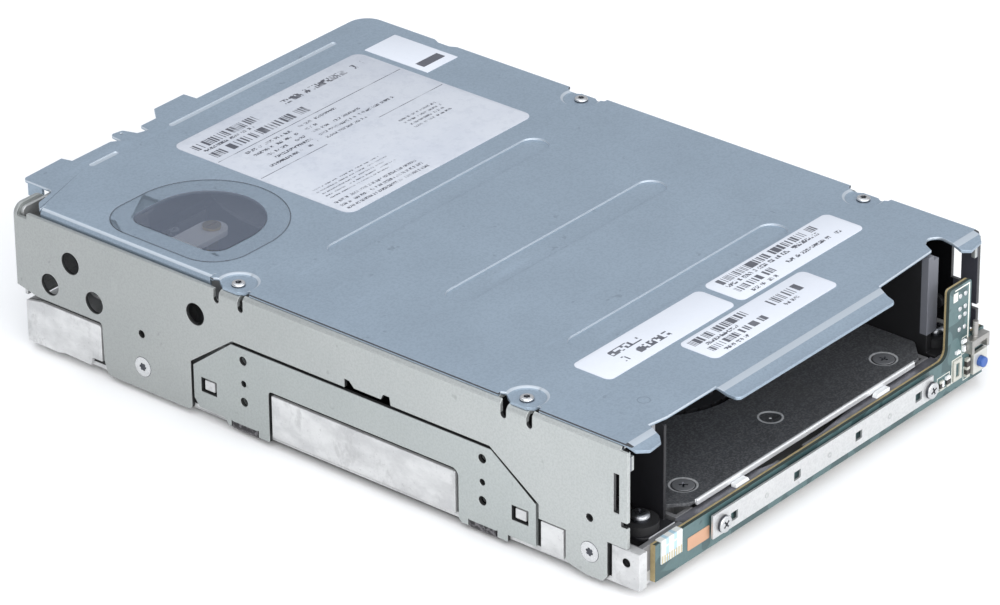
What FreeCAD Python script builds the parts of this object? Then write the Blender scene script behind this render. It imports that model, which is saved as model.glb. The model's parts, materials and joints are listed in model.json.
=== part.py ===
import FreeCAD, Part
import math
import os

# Half-height data tape drive, millimetres. X across, Y from the mouth to the back, Z up.
# Sizes are given with y = 0 at the front edge of the side walls; save() moves the origin
# to the middle of the footprint.

# Overall sizes
drive_width = 146.0
cover_top = 41.5            # top face of the cover above the bottom mounting face
bay_depth = 103.0           # cartridge bay, from the front edge of the side walls
rear_room = 102.0           # tape path behind the bay, to the rear flange of the walls
lip_reach = 5.2             # cover lip ahead of the side walls
tail_reach = 9.5            # cover tabs behind the side walls
button_reach = 6.6          # face of the eject button ahead of the side walls

# Sheet metal
cover_t = 0.9
wall_t = 1.2
panel_t = 1.0
guide_t = 1.0
fold_width = 6.5            # inward fold along the top of the side walls
dish_depth = 0.9            # screw seats pressed into the cover
lip_drop = 0.8              # step down of the cover lips

# Side mounting pattern and mount plates
mount_pitch_y = 79.25
mount_pitch_z = 11.94
mount_front_y = 45.6        # front column of holes
mount_low_z = 9.9
bottom_hole_inset = 3.15    # bottom holes from the outer face, 139.7 apart
mount_hole_r = 1.25
plate_gap = 0.9

# Casting
base_bottom = 1.4
web_bottom = 6.2
web_top = 8.2
rim_top = 12.2
rim_t = 2.8
base_front = -1.9
beam_back = -0.3            # rear face of the front beam above the web
pad_gap = 1.0
side_screw_front = 11.7     # countersunk screws in the side walls
side_screw_rear = 160.3
side_screw_z = 8.0

# Cartridge bay
side_room = 17.6            # between a side wall and the guide beside it
bay_floor = 14.4
floor_hole_r = 24.0
guide_front = 2.9           # front edges of the guides

# Front board
board_t = 1.6
board_bottom = 2.0
board_top = 12.3
stiffener_t = 0.7
stiffener_gap = 0.9         # strip stands off the board by its spacers

# Drive hub and lift ring
hub_y = 49.0
hub_lift = 2.0
lift_turn = 60.0            # degrees of ring travel
ring_module = 1.0
ring_teeth = 60
load_teeth = 26
tooth_gap = 0.3             # extra centre distance of the gears
run_gap = 0.06              # radial clearance of a running fit
seat_gap = 0.3              # clearance of a loose seat

# Tape path
reel_x = 10.0
reel_set_back = 54.0        # reel axis behind the bay
reel_r = 42.0
tape_low = 20.2
tape_high = 33.2
screw_inset = 25.2          # leadscrew of the head, from the left wall
head_set_back = 56.0        # leadscrew behind the bay
pin_r = 1.5
roller_r = 5.0
head_travel = 10.0

# Cover screws and circuit board
cover_screw_inset = 4.2     # from the outer face of the side wall
cover_screw_front = 34.6
cover_screw_rear = 129.3
main_board_z = 2.6
main_board_gap = 3.0        # between the board's edge and the casting's rim

half_width = drive_width / 2
wall_inner = half_width - wall_t
wall_depth = bay_depth + rear_room
cover_screw_x = half_width - cover_screw_inset
bottom_hole_x = half_width - bottom_hole_inset
bay_half = wall_inner - side_room
screw_x = screw_inset - wall_inner
reel_y = bay_depth + reel_set_back
head_y = bay_depth + head_set_back
main_board_half = wall_inner - rim_t - main_board_gap
cover_under = cover_top - cover_t
plate_bottom = 3.1
mount_rear_y = mount_front_y + mount_pitch_y
mount_high_z = mount_low_z + mount_pitch_z
tail_y = wall_depth + tail_reach
board_back = base_front
board_face = board_back - board_t
stiffener_back = board_face - stiffener_gap
stiffener_face = stiffener_back - stiffener_t
panel_y = wall_depth - wall_t - panel_t
rear_rim_y = panel_y - 0.2
origin_shift = FreeCAD.Vector(0, (button_reach - tail_y) / 2, 0)


def at(x, y, z):
    return FreeCAD.Vector(x, y, z)


def block(x0, x1, y0, y1, z0, z1):
    return Part.makeBox(x1 - x0, y1 - y0, z1 - z0, at(x0, y0, z0))


def rod(x, y, z0, z1, radius):
    return Part.makeCylinder(radius, z1 - z0, at(x, y, z0))


def rod_x(x0, x1, y, z, radius):
    return Part.makeCylinder(radius, x1 - x0, at(x0, y, z), at(1, 0, 0))


def rod_y(y0, y1, x, z, radius):
    return Part.makeCylinder(radius, y1 - y0, at(x, y0, z), at(0, 1, 0))


def tube(x, y, z0, z1, outer, inner):
    return rod(x, y, z0, z1, outer).cut(rod(x, y, z0, z1, inner))


def join(shapes):
    first = shapes[0]
    if len(shapes) > 1:
        first = first.multiFuse(shapes[1:])
    return first.removeSplitter()


def corner(before, here, after, radius):
    """Start, middle and end of the arc that rounds one corner of an outline."""
    back = (before - here).normalize()
    ahead = (after - here).normalize()
    half = back.getAngle(ahead) / 2
    run = radius / math.tan(half)
    inward = (back + ahead).normalize()
    return here + back * run, here + inward * (radius / math.sin(half) - radius), here + ahead * run


def outline(points, place):
    """Closed face from (u, v) or (u, v, radius) points set into a plane by place."""
    spots = [at(point[0], point[1], 0) for point in points]
    corners = []
    for i, point in enumerate(points):
        if len(point) == 2:
            corners.append((spots[i], None, spots[i]))
        else:
            corners.append(corner(spots[i - 1], spots[i], spots[(i + 1) % len(spots)], point[2]))
    edges = []
    for i, (start, middle, end) in enumerate(corners):
        if middle is not None:
            edges.append(Part.Arc(place(start), place(middle), place(end)).toShape())
        following = corners[(i + 1) % len(corners)][0]
        if end.distanceToPoint(following) > 1e-6:
            edges.append(Part.LineSegment(place(end), place(following)).toShape())
    return Part.Face(Part.Wire(edges))


def plan_prism(points, z0, z1):
    face = outline(points, lambda p: at(p.x, p.y, z0))
    return face.extrude(at(0, 0, z1 - z0))


def side_prism(points, x0, x1):
    face = outline(points, lambda p: at(x0, p.x, p.y))
    return face.extrude(at(x1 - x0, 0, 0))


def front_prism(points, y0, y1):
    face = outline(points, lambda p: at(p.x, y0, p.y))
    return face.extrude(at(0, y1 - y0, 0))


def stadium(x0, x1, y0, y1):
    radius = (y1 - y0) / 2 - 0.01
    return [(x0, y0, radius), (x1, y0, radius), (x1, y1, radius), (x0, y1, radius)]


def turned(shape, x, y, degrees):
    copy = shape.copy()
    copy.rotate(at(x, y, 0), at(0, 0, 1), degrees)
    return copy


def mirrored(shape):
    return shape.mirror(at(0, 0, 0), at(1, 0, 0))


def both_sides(shape):
    return [shape, mirrored(shape)]


# ---- Top cover -------------------------------------------------------------------

bead_half = 43.0
bead_width = 9.4
bead_depth = 0.55
bead_front_y = 41.4
bead_pitch = 39.7
bead_count = 3
window_r = 16.0
window_reach = 13.2         # straight edge of the window, from the centre of its round end
window_x = screw_x - 1.6    # centre of its round end
window_y = head_y + 0.6
film_margin = 6.2
skirt_x = 0.5 - wall_inner  # outer face of the side flange behind the left rear screw
tail_left = 10.3 - wall_inner


def cover_outline():
    side = wall_inner + 0.3
    front = -lip_reach
    tail = tail_y
    return [
        (-side, 2.6), (-side, -1.8), (2.4 - side, -4.3), (7.2 - side, -3.8), (9.4 - side, -1.7),
        (10.8 - side, 3.0),
        (-bay_half - 1.0, 2.0), (-36.2, 2.0), (-36.2, front, 1.5), (28.2, front, 1.5), (31.0, 2.0),
        (bay_half + 1.2, 3.2), (side - 14.9, 6.4, 0.8), (side - 11.9, 8.0, 2.0), (side - 9.2, 5.8, 2.0),
        (side - 10.7, -1.8), (side - 9.1, -3.9), (side - 3.4, -3.0), (side, 0.2),
        (side, wall_depth - 29.0), (side - 1.0, wall_depth - 27.0), (side - 1.0, wall_depth - 23.0),
        (side, wall_depth - 21.0), (side, tail - 4.5, 6.0), (3.0, tail - 4.5), (2.7, tail), (-9.0, tail),
        (-12.8, tail - 4.3), (-18.8, tail - 4.3), (-19.4, tail - 7.6), (-22.6, tail - 6.6),
        (-24.0, tail - 2.4, 1.0), (-28.0, tail - 1.6, 1.2), (-28.6, tail - 6.4),
        (-31.0, tail - 4.6), (-45.6, tail - 4.6), (-46.4, tail - 1.4), (tail_left, tail - 1.9, 1.5),
        (tail_left, wall_depth - 3.6, 2.0), (skirt_x + 2.6, wall_depth - 5.2, 2.0),
        (skirt_x, wall_depth - 8.0), (skirt_x, cover_screw_rear + 7.3), (-side, cover_screw_rear + 4.7)]


def cover_sheet():
    """Flat sheet whose front lips step down over a slanted band."""
    low = cover_under - lip_drop
    profile = [(-lip_reach - 1, low), (-1.9, low), (1.5, cover_under), (tail_y + 1, cover_under),
               (tail_y + 1, cover_top), (1.5, cover_top), (-1.9, low + cover_t),
               (-lip_reach - 1, low + cover_t)]
    blank = side_prism(profile, -half_width, half_width)
    return blank.common(plan_prism(cover_outline(), low - 1, cover_top + 1))


def bead(x0, x1, y, width, depth):
    """Solid of a pressed bead and the hollow that it leaves in the top face."""
    outer = plan_prism(stadium(x0, x1, y - width / 2, y + width / 2), cover_under - depth, cover_top)
    inner_half = width / 2 - depth
    hollow = plan_prism(stadium(x0 + depth, x1 - depth, y - inner_half, y + inner_half),
                        cover_top - depth, cover_top + 1)
    return outer, hollow


def screw_seat(x, y):
    """Dished seat under a cover screw: cone pressed down by dish_depth."""
    wide = 5.4
    narrow = 4.4
    shell = Part.makeCone(narrow + 0.3, wide + 0.3, dish_depth + 0.2, at(x, y, cover_under - dish_depth))
    floor = rod(x, y, cover_under - dish_depth, cover_top - dish_depth, narrow + 0.3)
    hollow = Part.makeCone(narrow, wide + 0.6, dish_depth + 0.2, at(x, y, cover_top - dish_depth))
    return join([shell, floor]), hollow


def seat_notches(side, y):
    """Relief cuts that leave a pointed tab outboard of a screw seat."""
    edge = side * (half_width + 1)
    cuts = []
    for way in (-1, 1):
        near = y + way * 2.6
        far = y + way * 6.4
        points = [(edge, near), (side * (wall_inner + 0.1), near), (side * (wall_inner - 1.4), y + way * 5.2),
                  (side * (wall_inner - 0.8), far), (edge, far)]
        cuts.append(plan_prism(points, cover_under - 3, cover_top + 1))
    return cuts


def window_outline(grow):
    """D-shaped outline: straight on the left, round on the right."""
    radius = window_r + grow
    flat = window_x - window_reach - grow
    bend = radius - 0.01
    small = 5.0 + grow
    return [(flat, window_y - radius, small), (window_x + radius, window_y - radius, bend),
            (window_x + radius, window_y + radius, bend), (flat, window_y + radius, small)]


def cover_skirt():
    """Side flange of the cover that drops inside the left wall behind the rear screw."""
    points = [(skirt_x, cover_top, 1.6), (skirt_x, 36.6), (skirt_x + cover_t, 36.6),
              (skirt_x + cover_t, cover_under, 0.7), (skirt_x + 4, cover_under), (skirt_x + 4, cover_top)]
    return front_prism(points, cover_screw_rear + 7.7, wall_depth - 8.2)


def tail_skirt():
    """Drawn edge of the left rear corner."""
    x = tail_left
    y0 = wall_depth + 0.6
    y1 = tail_y - 3.6
    points = [(x, cover_top, 0.8), (x, 37.2), (x + cover_t, 37.2), (x + cover_t, cover_under),
              (x + 3, cover_under), (x + 3, cover_top)]
    return front_prism(points, y0, y1)


def top_cover():
    sheet = join([cover_sheet(), tail_skirt()])
    left_rear = block(skirt_x, skirt_x + 2.4, cover_screw_rear + 7.5, wall_depth - 8.1,
                      cover_under - 1, cover_top + 1)
    sheet = join([sheet.cut(left_rear), cover_skirt()])
    added = []
    removed = []
    for i in range(bead_count):
        outer, hollow = bead(-bead_half, bead_half, bead_front_y + i * bead_pitch, bead_width, bead_depth)
        added.append(outer)
        removed.append(hollow)
    for x0, x1 in ((-14.3, bay_half - 0.7), (-45.2, -33.8)):
        outer, hollow = bead(x0, x1, tail_y - 10.4, 2.4, 0.4)
        added.append(outer)
        removed.append(hollow)
    for side in (-1, 1):
        for y in (cover_screw_front, cover_screw_rear):
            x = side * cover_screw_x
            solid, hollow = screw_seat(x, y)
            keep = block(-wall_inner - 0.3, wall_inner + 0.3, y - 7, y + 7, cover_under - 2, cover_top)
            added.append(solid.common(keep))
            removed.append(hollow)
            removed.append(rod(x, y, cover_under - 3, cover_top + 1, pin_r + 0.2))
            removed += seat_notches(side, y)
    removed.append(plan_prism(window_outline(0), cover_under - 1, cover_top + 1))
    removed.append(rod(-25.6, tail_y - 3.6, cover_under - 1, cover_top + 1, 0.5))
    return join([sheet] + added).cut(Part.makeCompound(removed))


def window_film():
    film_t = 0.15
    return plan_prism(window_outline(film_margin), cover_top, cover_top + film_t)


def pan_screw(x, y, seat, length, head_r, head_h, shank_r):
    return join([rod(x, y, seat, seat + head_h, head_r), rod(x, y, seat - length, seat, shank_r)])


def cover_screws():
    seat = cover_top - dish_depth
    screws = []
    for side in (-1, 1):
        for y in (cover_screw_front, cover_screw_rear):
            screws.append(pan_screw(side * cover_screw_x, y, seat, 3.4, 2.2, 0.85, pin_r - 0.05))
    return screws


# ---- Side walls and mount plates -------------------------------------------------

plate_top = 25.4
plate_shoulder = 15.0       # height where the plate's sloping ends begin
plate_front_y = 28.6
plate_rear_y = 142.3
lobe_front_y = 53.4         # inner edges of the two lobes
lobe_rear_y = 116.4
bar_low = 16.0


def wall_outline():
    """Side wall seen from the left: y, z."""
    rear = wall_depth
    gap = plate_gap
    return [
        (0, 12.8), (0, 18.6), (2.0, 18.6), (2.0, 20.0), (0, 20.0), (0, 39.6),
        (rear - 4.7, 39.6), (rear - 4.7, 38.0), (rear, 38.0), (rear, 17.6),
        (rear - 7.5, 16.0), (rear - 30.5, 16.0, 1.0), (rear - 30.8, 5.2), (rear - 32.0, 1.2, 1.5),
        (plate_rear_y + gap, 1.2, 1.5), (plate_rear_y + gap, plate_shoulder + 0.6),
        (mount_rear_y + 3.6, plate_top + gap), (mount_front_y - 2.4, plate_top + gap),
        (plate_front_y - gap, plate_shoulder + 0.5), (plate_front_y - gap, 11.4),
        (19.2, 11.4), (19.2, 2.6, 1.5), (13.0, 1.2, 4.0), (7.6, 1.2, 1.2), (6.2, 3.0), (6.2, 12.8)]


def side_wall(right):
    """Left wall; the right one is its mirror image without the three service holes."""
    x0 = -half_width
    x1 = -wall_inner
    sheet = side_prism(wall_outline(), x0, x1)
    rear = wall_depth
    fold_top = cover_under
    fold = front_prism([(x0, 38.0), (x0, fold_top, 1.8), (x0 + fold_width, fold_top),
                        (x0 + fold_width, fold_top - wall_t), (x1, fold_top - wall_t, 0.6), (x1, 38.0)],
                       2.2, cover_screw_rear + 5.0)
    flange_top = 40.4
    if not right:
        flange_top = 41.0
    flange_x = x0 + 11.0
    flange = front_prism([(x0, 17.6), (flange_x, 17.6), (flange_x, flange_top, 3.0), (x0, flange_top, 3.0)],
                         rear - wall_t, rear)
    hem = block(x0, x0 + 2.6, 0, wall_t, 34.0, 38.0)
    wall = join([sheet, fold, flange, hem])
    cuts = []
    for y in (cover_screw_front, cover_screw_rear):
        # the tongue under each cover screw is set lower than the fold
        low = fold_top - dish_depth
        cuts.append(block(x1 - 0.1, x0 + fold_width + 1, y - 6.4, y + 6.4, low - wall_t - 0.1, fold_top + 1))
        cuts.append(block(x0 - 1, x1, y - 4.4, y + 4.4, low, fold_top + 1))
        for way in (-1, 1):
            middle = y + way * 4.1
            cuts.append(block(x0 - 1, x0 + fold_width + 1, middle - 0.9, middle + 0.9, 36.6, fold_top + 1))
            cuts.append(rod_x(x0 - 1, x1 + 1, middle, 36.6, 0.9))
    wall = wall.cut(Part.makeCompound(cuts))
    tongues = []
    for y in (cover_screw_front, cover_screw_rear):
        low = fold_top - dish_depth
        tongue = front_prism([(x0, 38.0), (x0, low, 1.8), (x0 + fold_width, low),
                              (x0 + fold_width, low - wall_t), (x1, low - wall_t, 0.6), (x1, 38.0)],
                             y - 3.2, y + 3.2)
        tongues.append(tongue)
    wall = join([wall] + tongues)
    cuts = []
    for y in (cover_screw_front, cover_screw_rear):
        cuts.append(rod(-cover_screw_x, y, 36.0, fold_top + 1, pin_r))
    for y in (side_screw_front, side_screw_rear):
        cuts.append(Part.makeCone(2.9, 1.7, wall_t + 0.02, at(x0 - 0.01, y, side_screw_z), at(1, 0, 0)))
    slot = [(2.5, 21.9), (4.3, 21.9), (4.3, 32.8), (2.5, 32.8)]
    if right:
        slot = [(5.2, 25.4), (8.2, 25.4), (8.2, 34.6), (5.2, 34.6)]
    cuts.append(side_prism(slot, x0 - 1, x1 + 1))
    cuts.append(rod_x(x0 - 1, x1 + 1, side_screw_front, 17.6, 1.1))
    cuts.append(rod_x(x0 - 1, x1 + 1, side_screw_rear, 17.6, 1.1))
    big_hole_r = 3.1
    holes = [(rear - 64.0, 29.9)]
    if not right:
        holes += [(rear - 19.9, 29.9), (rear - 12.1, 21.2), (rear - 28.0, 21.1)]
    for y, z in holes:
        cuts.append(rod_x(x0 - 1, x1 + 1, y, z, big_hole_r))
    bent_tab = [(75.0, plate_top), (90.4, plate_top), (90.4, plate_top + 3.4), (88.8, plate_top + 3.2),
                (87.2, plate_top + 1.6), (78.4, plate_top + 1.6), (77.6, plate_top + 3.2),
                (75.6, plate_top + 3.2)]
    cuts.append(side_prism(bent_tab, x0 - 1, x1 + 1))
    wall = wall.cut(Part.makeCompound(cuts))
    if right:
        return mirrored(wall)
    return wall


def plate_outline():
    low = plate_bottom
    return [
        (plate_rear_y, plate_shoulder), (plate_rear_y, 5.4), (plate_rear_y - 1.8, low),
        (mount_rear_y + 7.0, low), (mount_rear_y + 5.4, 1.2), (lobe_rear_y, 1.2), (lobe_rear_y, bar_low, 1.2),
        (lobe_front_y, bar_low, 2.0), (lobe_front_y, 2.2), (lobe_front_y - 1.0, 1.2),
        (mount_front_y - 8.0, 1.2),
        (mount_front_y - 8.0, low), (plate_front_y, low), (plate_front_y, plate_shoulder),
        (mount_front_y - 2.8, plate_top), (mount_rear_y + 4.0, plate_top)]


def plate_windows():
    """Square windows that locate the plate on bosses of the casting: centre y, z."""
    return [(33.65, 10.1), (137.05, 10.1)]


def mount_plate():
    x0 = -half_width
    x1 = -wall_inner
    plate = side_prism(plate_outline(), x0, x1)
    tab_half = 4.7
    cuts = []
    tabs = []
    for y in (mount_front_y, mount_rear_y):
        cuts.append(block(x0 - 1, x1 + 1, y - tab_half, y + tab_half, 0, plate_bottom))
        tab_end = x0 + 8.5
        tab = front_prism([(x0, plate_bottom), (x0, 0, 2.2), (tab_end, 0, 1.0), (tab_end, base_bottom),
                           (x1, base_bottom), (x1, plate_bottom)], y - tab_half + 0.3, y + tab_half - 0.3)
        tabs.append(tab.cut(rod(-bottom_hole_x, y, -1, base_bottom + 1, mount_hole_r)))
    for y, z in plate_windows():
        half_y = 2.7
        half_z = 2.1
        cuts.append(block(x0 - 1, x1 + 1, y - half_y, y + half_y, z - half_z, z + half_z))
    collars = []
    holes = []
    for y in (mount_front_y, mount_rear_y):
        for z in (mount_low_z, mount_high_z):
            collars.append(rod_x(x1, x1 + 1.0, y, z, mount_hole_r + 0.9))
            holes.append(rod_x(x0 - 1, x1 + 2, y, z, mount_hole_r))
        holes.append(rod_x(x0 - 1, x1 + 2, y, mount_low_z + 5.3, 0.9))
    plate = plate.cut(Part.makeCompound(cuts))
    return join([plate] + collars + tabs).cut(Part.makeCompound(holes))


def side_screws():
    screws = []
    for y in (side_screw_front, side_screw_rear):
        head = Part.makeCone(2.85, 1.6, wall_t, at(-half_width, y, side_screw_z), at(1, 0, 0))
        shank = rod_x(-wall_inner, -wall_inner + 4.5, y, side_screw_z, pin_r - 0.05)
        screws += both_sides(join([head, shank]))
    return screws


def rear_panel():
    low = 14.4
    top = cover_under - 0.6
    half = wall_inner - 0.4
    points = [(-half, low), (half, low), (half, top, 1.5), (-half, top, 1.5)]
    panel = front_prism(points, panel_y, panel_y + panel_t)
    feet = []
    for x in (-58.0, 0.0, 58.0):
        feet.append(block(x - 5, x + 5, panel_y - 6.0, panel_y + panel_t, top - panel_t, top))
    lip = block(-half + 4, half - 4, panel_y - 3.0, panel_y + panel_t, low, low + panel_t)
    return join([panel, lip] + feet)


# ---- Base casting ----------------------------------------------------------------

grommet_x = wall_inner - side_room / 2 - 1.5
grommet_front_y = 5.2
grommet_rear_y = bay_depth + 3.0
ledge_top = 8.8
post_x = bay_half - 12.6
post_front_y = 7.4
post_rear_y = bay_depth - 8.0
post_r = 3.4
connector_x1 = wall_inner - rim_t - 1.0
power_x1 = connector_x1 - 2.0
power_x0 = power_x1 - 23.0
jumper_width = 10.4
jumper_x0 = power_x0 - jumper_width - 3.1
data_x1 = jumper_x0 - 3.5
data_x0 = data_x1 - 58.0
connector_x0 = data_x0 - 6.0
connector_front_y = wall_depth - 17.0
spring_t = 0.5
beam_taper_left = (-24.0, -13.5)    # stretch over which the beam's left half runs out
beam_taper_right = (20.0, -3.5)


def grommet_spots():
    spots = []
    for side in (-1, 1):
        for y in (grommet_front_y, grommet_rear_y):
            spots.append((side * grommet_x, y))
    return spots


def post_spots():
    spots = []
    for side in (-1, 1):
        for y in (post_front_y, post_rear_y):
            spots.append((side * post_x, y))
    return spots


def casting_pads():
    """Raised pads that fill the openings of the wall and plate flush with their faces."""
    x0 = -half_width
    x1 = -wall_inner + rim_t
    rear = wall_depth
    middle = side_prism([(lobe_front_y + pad_gap, 3.0), (lobe_front_y + pad_gap, bar_low - pad_gap),
                         (lobe_rear_y - pad_gap, bar_low - pad_gap), (lobe_rear_y - pad_gap, 3.0)], x0, x1)
    back = side_prism([(rear - 30.0, 4.4), (rear - 30.0, 14.9, 1.0), (rear - 9.0, 14.9), (rear - 3.0, 13.8),
                       (rear - 3.0, 1.9), (rear - 14.0, 1.7), (rear - 16.5, 2.3), (rear - 25.8, 2.0),
                       (rear - 26.4, 4.4)], x0, x1)
    front = side_prism([(plate_front_y - 1.6, 2.6), (plate_front_y - 1.6, 11.0),
                        (19.9, 11.0), (19.9, 2.6)], x0, x1)
    pads = [middle, back, front]
    for y, z in plate_windows():
        pads.append(block(x0 + 0.4, x1, y - 1.7, y + 1.7, z - 1.4, z + 1.4))
    return pads


def front_lug():
    """Forward ear at the left front corner."""
    lug = block(-half_width, 3.0 - half_width, -3.9, 4.7, 2.5, 12.7)
    return lug.cut(rod_x(-half_width - 1, 3.5 - half_width, 0.3, 9.1, 1.2))


def tapered_leaves(z0, z1, gap):
    """Two strips along the front beam; each runs out to a point near the middle."""
    half = bay_half - 0.9 - gap
    front = base_front + gap
    back = 1.0 - gap
    left_full, left_tip = beam_taper_left
    right_full, right_tip = beam_taper_right
    left = plan_prism([(-half, front), (left_tip, front), (left_full, back), (-half, back)], z0, z1)
    right = plan_prism([(half, front), (right_tip, front), (right_full, back), (half, back)], z0, z1)
    return [left, right]


def corner_pockets():
    """Cast walls of the two small pockets between the bay floor and the guides."""
    walls = []
    for side in (-1, 1):
        x0 = side * (bay_half - 1.6) if side < 0 else bay_half - 8.4
        shell = block(x0, x0 + 6.8, 1.0, 7.6, web_top - 1, rim_top)
        walls.append(shell.cut(block(x0 + 1.4, x0 + 5.4, 2.2, 6.2, web_top + 0.6, rim_top + 1)))
    return walls


def hub_collar_radius():
    return ring_bore_r - run_gap


def base_casting():
    half = wall_inner
    inner = half - rim_t
    tray = block(-half, half, base_front, rear_rim_y, base_bottom, rim_top)
    tray = tray.cut(block(-inner, inner, 1.5, rear_rim_y - rim_t, base_bottom - 1, web_bottom))
    tray = tray.cut(block(-inner, inner, beam_back, rear_rim_y - rim_t, web_top, rim_top + 1))
    tray = tray.cut(block(beam_taper_left[1], beam_taper_right[1], base_front - 1, 1,
                          rim_top - 1.6, rim_top + 1))
    tray = tray.cut(block(0.9 - bay_half, bay_half - 0.9, base_front - 1, 1, rim_top - spring_t, rim_top + 1))
    solids = [tray]
    for pad in casting_pads():
        solids += both_sides(pad)
    for side in (-1, 1):
        x = side * (half - 4.0)
        for y in (side_screw_front, side_screw_rear):
            solids.append(block(min(x, side * half), max(x, side * half), y - 4, y + 4, base_bottom, rim_top))
    solids.append(front_lug())
    solids += tapered_leaves(rim_top - 1.6, rim_top - spring_t, 0)
    solids += corner_pockets()
    for x, y in grommet_spots():
        solids.append(rod(x, y, web_top - 1, ledge_top, 5.6))
    for x, y in post_spots():
        solids.append(rod(x, y, web_top - 1, bay_floor - guide_t, post_r))
    solids.append(rod(0, hub_y, web_top - 1, ring_z + ring_base_t, hub_collar_radius()))
    solids.append(worm_bearing())
    solids.append(bridge_column())
    casting = join(solids)
    cuts = [rod(0, hub_y, web_bottom - 1, 20, carrier_r + run_gap),
            block(connector_x0, connector_x1, connector_front_y, rear_rim_y + 1, base_bottom - 1, web_top),
            block(connector_x0, connector_x1, connector_front_y, rear_rim_y + 1, web_top - 0.1, rim_top + 1)]
    cuts.append(motor_pocket())
    cuts.append(rod(reel_x, reel_y, web_bottom - 1, web_top + 1, 9.0))
    for side in (-1, 1):
        for y in (mount_front_y, mount_rear_y):
            cuts.append(rod(side * bottom_hole_x, y, base_bottom - 1, base_bottom + 4.5, mount_hole_r + 0.5))
            for z in (mount_low_z, mount_high_z):
                cuts.append(rod_x(min(side * half, side * inner) - 0.1, max(side * half, side * inner) + 0.1,
                                  y, z, mount_hole_r + 1.4))
        for y in (side_screw_front, side_screw_rear):
            cuts.append(rod_x(min(side * half, side * (half - 5)), max(side * half, side * (half - 5)),
                              y, side_screw_z, pin_r))
    for x, y in grommet_spots():
        cuts.append(rod(x, y, web_bottom - 1, ledge_top + 1, pin_r))
    for x, y in post_spots():
        cuts.append(rod(x, y, web_bottom - 1, bay_floor, 1.25))
    return casting.cut(Part.makeCompound(cuts))


# ---- Drive hub and its lift ------------------------------------------------------

ring_z = 8.5
ring_base_t = 1.2
ring_bore_r = 20.0
ramp_inner_r = 20.2
ramp_r = 22.5
ring_pitch_r = ring_module * ring_teeth / 2
load_pitch_r = ring_module * load_teeth / 2
load_x = -(ring_pitch_r + load_pitch_r + tooth_gap)
carrier_r = 18.44
driver_r = 22.0
motor_bore_r = 3.0
lift_ramps = 3
ramp_gap = 0.2


def gear_outline(teeth, pitch_r, first_tooth):
    """Plan outline of a spur gear: four points a tooth, centred on the origin."""
    step = 2 * math.pi / teeth
    tip_r = pitch_r + 0.8 * ring_module
    root_r = pitch_r - 1.1 * ring_module
    points = []
    for i in range(teeth):
        middle = first_tooth + i * step
        for radius, share in ((root_r, -0.3), (tip_r, -0.12), (tip_r, 0.12), (root_r, 0.3)):
            angle = middle + share * step
            points.append((radius * math.cos(angle), radius * math.sin(angle)))
    return points


def ramp(start):
    """Helical ramp of the lift ring, as a ruled loft through radial sections."""
    steps = 6
    foot = ring_z + ring_base_t - 0.2
    sections = []
    for i in range(steps + 1):
        angle = math.radians(start - lift_turn * i / steps)
        top = ring_z + ring_base_t + 0.02 + hub_lift * i / steps
        c, s = math.cos(angle), math.sin(angle)
        spots = [(ramp_inner_r, foot), (ramp_r, foot), (ramp_r, top), (ramp_inner_r, top)]
        wire = [at(r * c, hub_y + r * s, z) for r, z in spots]
        sections.append(Part.makePolygon(wire + [wire[0]]))
    return Part.makeLoft(sections, True, True)


def lift_ring():
    teeth = plan_prism(gear_outline(ring_teeth, ring_pitch_r, 0), ring_z, ring_z + 2.4)
    teeth.translate(at(0, hub_y, 0))
    rim = tube(0, hub_y, ring_z, ring_z + 3.6, ring_pitch_r - 2.0, ring_bore_r)
    ring = join([teeth, rim])
    ring = ring.cut(rod(0, hub_y, ring_z - 1, 20, ring_bore_r))
    ring = ring.cut(rod(0, hub_y, ring_z + ring_base_t, 20, ramp_r + 0.8))
    ramps = [ramp(360.0 * i / lift_ramps) for i in range(lift_ramps)]
    return join([ring] + ramps)


def hub_carrier():
    """Cup that the ring's ramps push up; its three lugs ride on the ramps."""
    top = 11.6
    wall = tube(0, hub_y, ring_z + 0.1, top, carrier_r, 15.5)
    lug_low = ring_z + ring_base_t + ramp_gap + 0.02
    lugs = []
    for i in range(lift_ramps):
        lug = block(carrier_r - 1.0, ramp_r - 0.2, hub_y - 1.0, hub_y + 1.0, lug_low, top)
        lugs.append(turned(lug, 0, hub_y, 360.0 * i / lift_ramps))
    return join([wall] + lugs)


def reel_driver():
    """Ribbed disc that turns the cartridge's hub, with face teeth and a splined stub."""
    low = 12.0
    top = 13.7
    ribs = 36
    disc = rod(0, hub_y, low, top, driver_r - 0.6)
    grips = []
    for i in range(ribs):
        rib = block(driver_r - 1.6, driver_r, hub_y - 0.45, hub_y + 0.45, low, top)
        grips.append(turned(rib, 0, hub_y, 360.0 * i / ribs))
    face_teeth = 12
    for i in range(face_teeth):
        tooth = block(15.0, 18.0, hub_y - 0.6, hub_y + 0.6, top - 0.3, top + 0.6)
        grips.append(turned(tooth, 0, hub_y, 360.0 * i / face_teeth))
    spigot = rod(0, hub_y, 11.2, low + 0.1, 15.5 - run_gap)
    stub = rod(0, hub_y, 8.4, low, motor_bore_r)
    point = Part.makeCone(4.0, 2.0, 1.0, at(0, hub_y, top - 0.1))
    return join([disc, spigot, stub, point] + grips)


def supply_motor():
    can = tube(0, hub_y, web_bottom, 8.3, 14.5, motor_bore_r + run_gap)
    flange = tube(0, hub_y, web_bottom, web_bottom + 1.0, carrier_r, 10.0)
    return join([can, flange])


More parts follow.
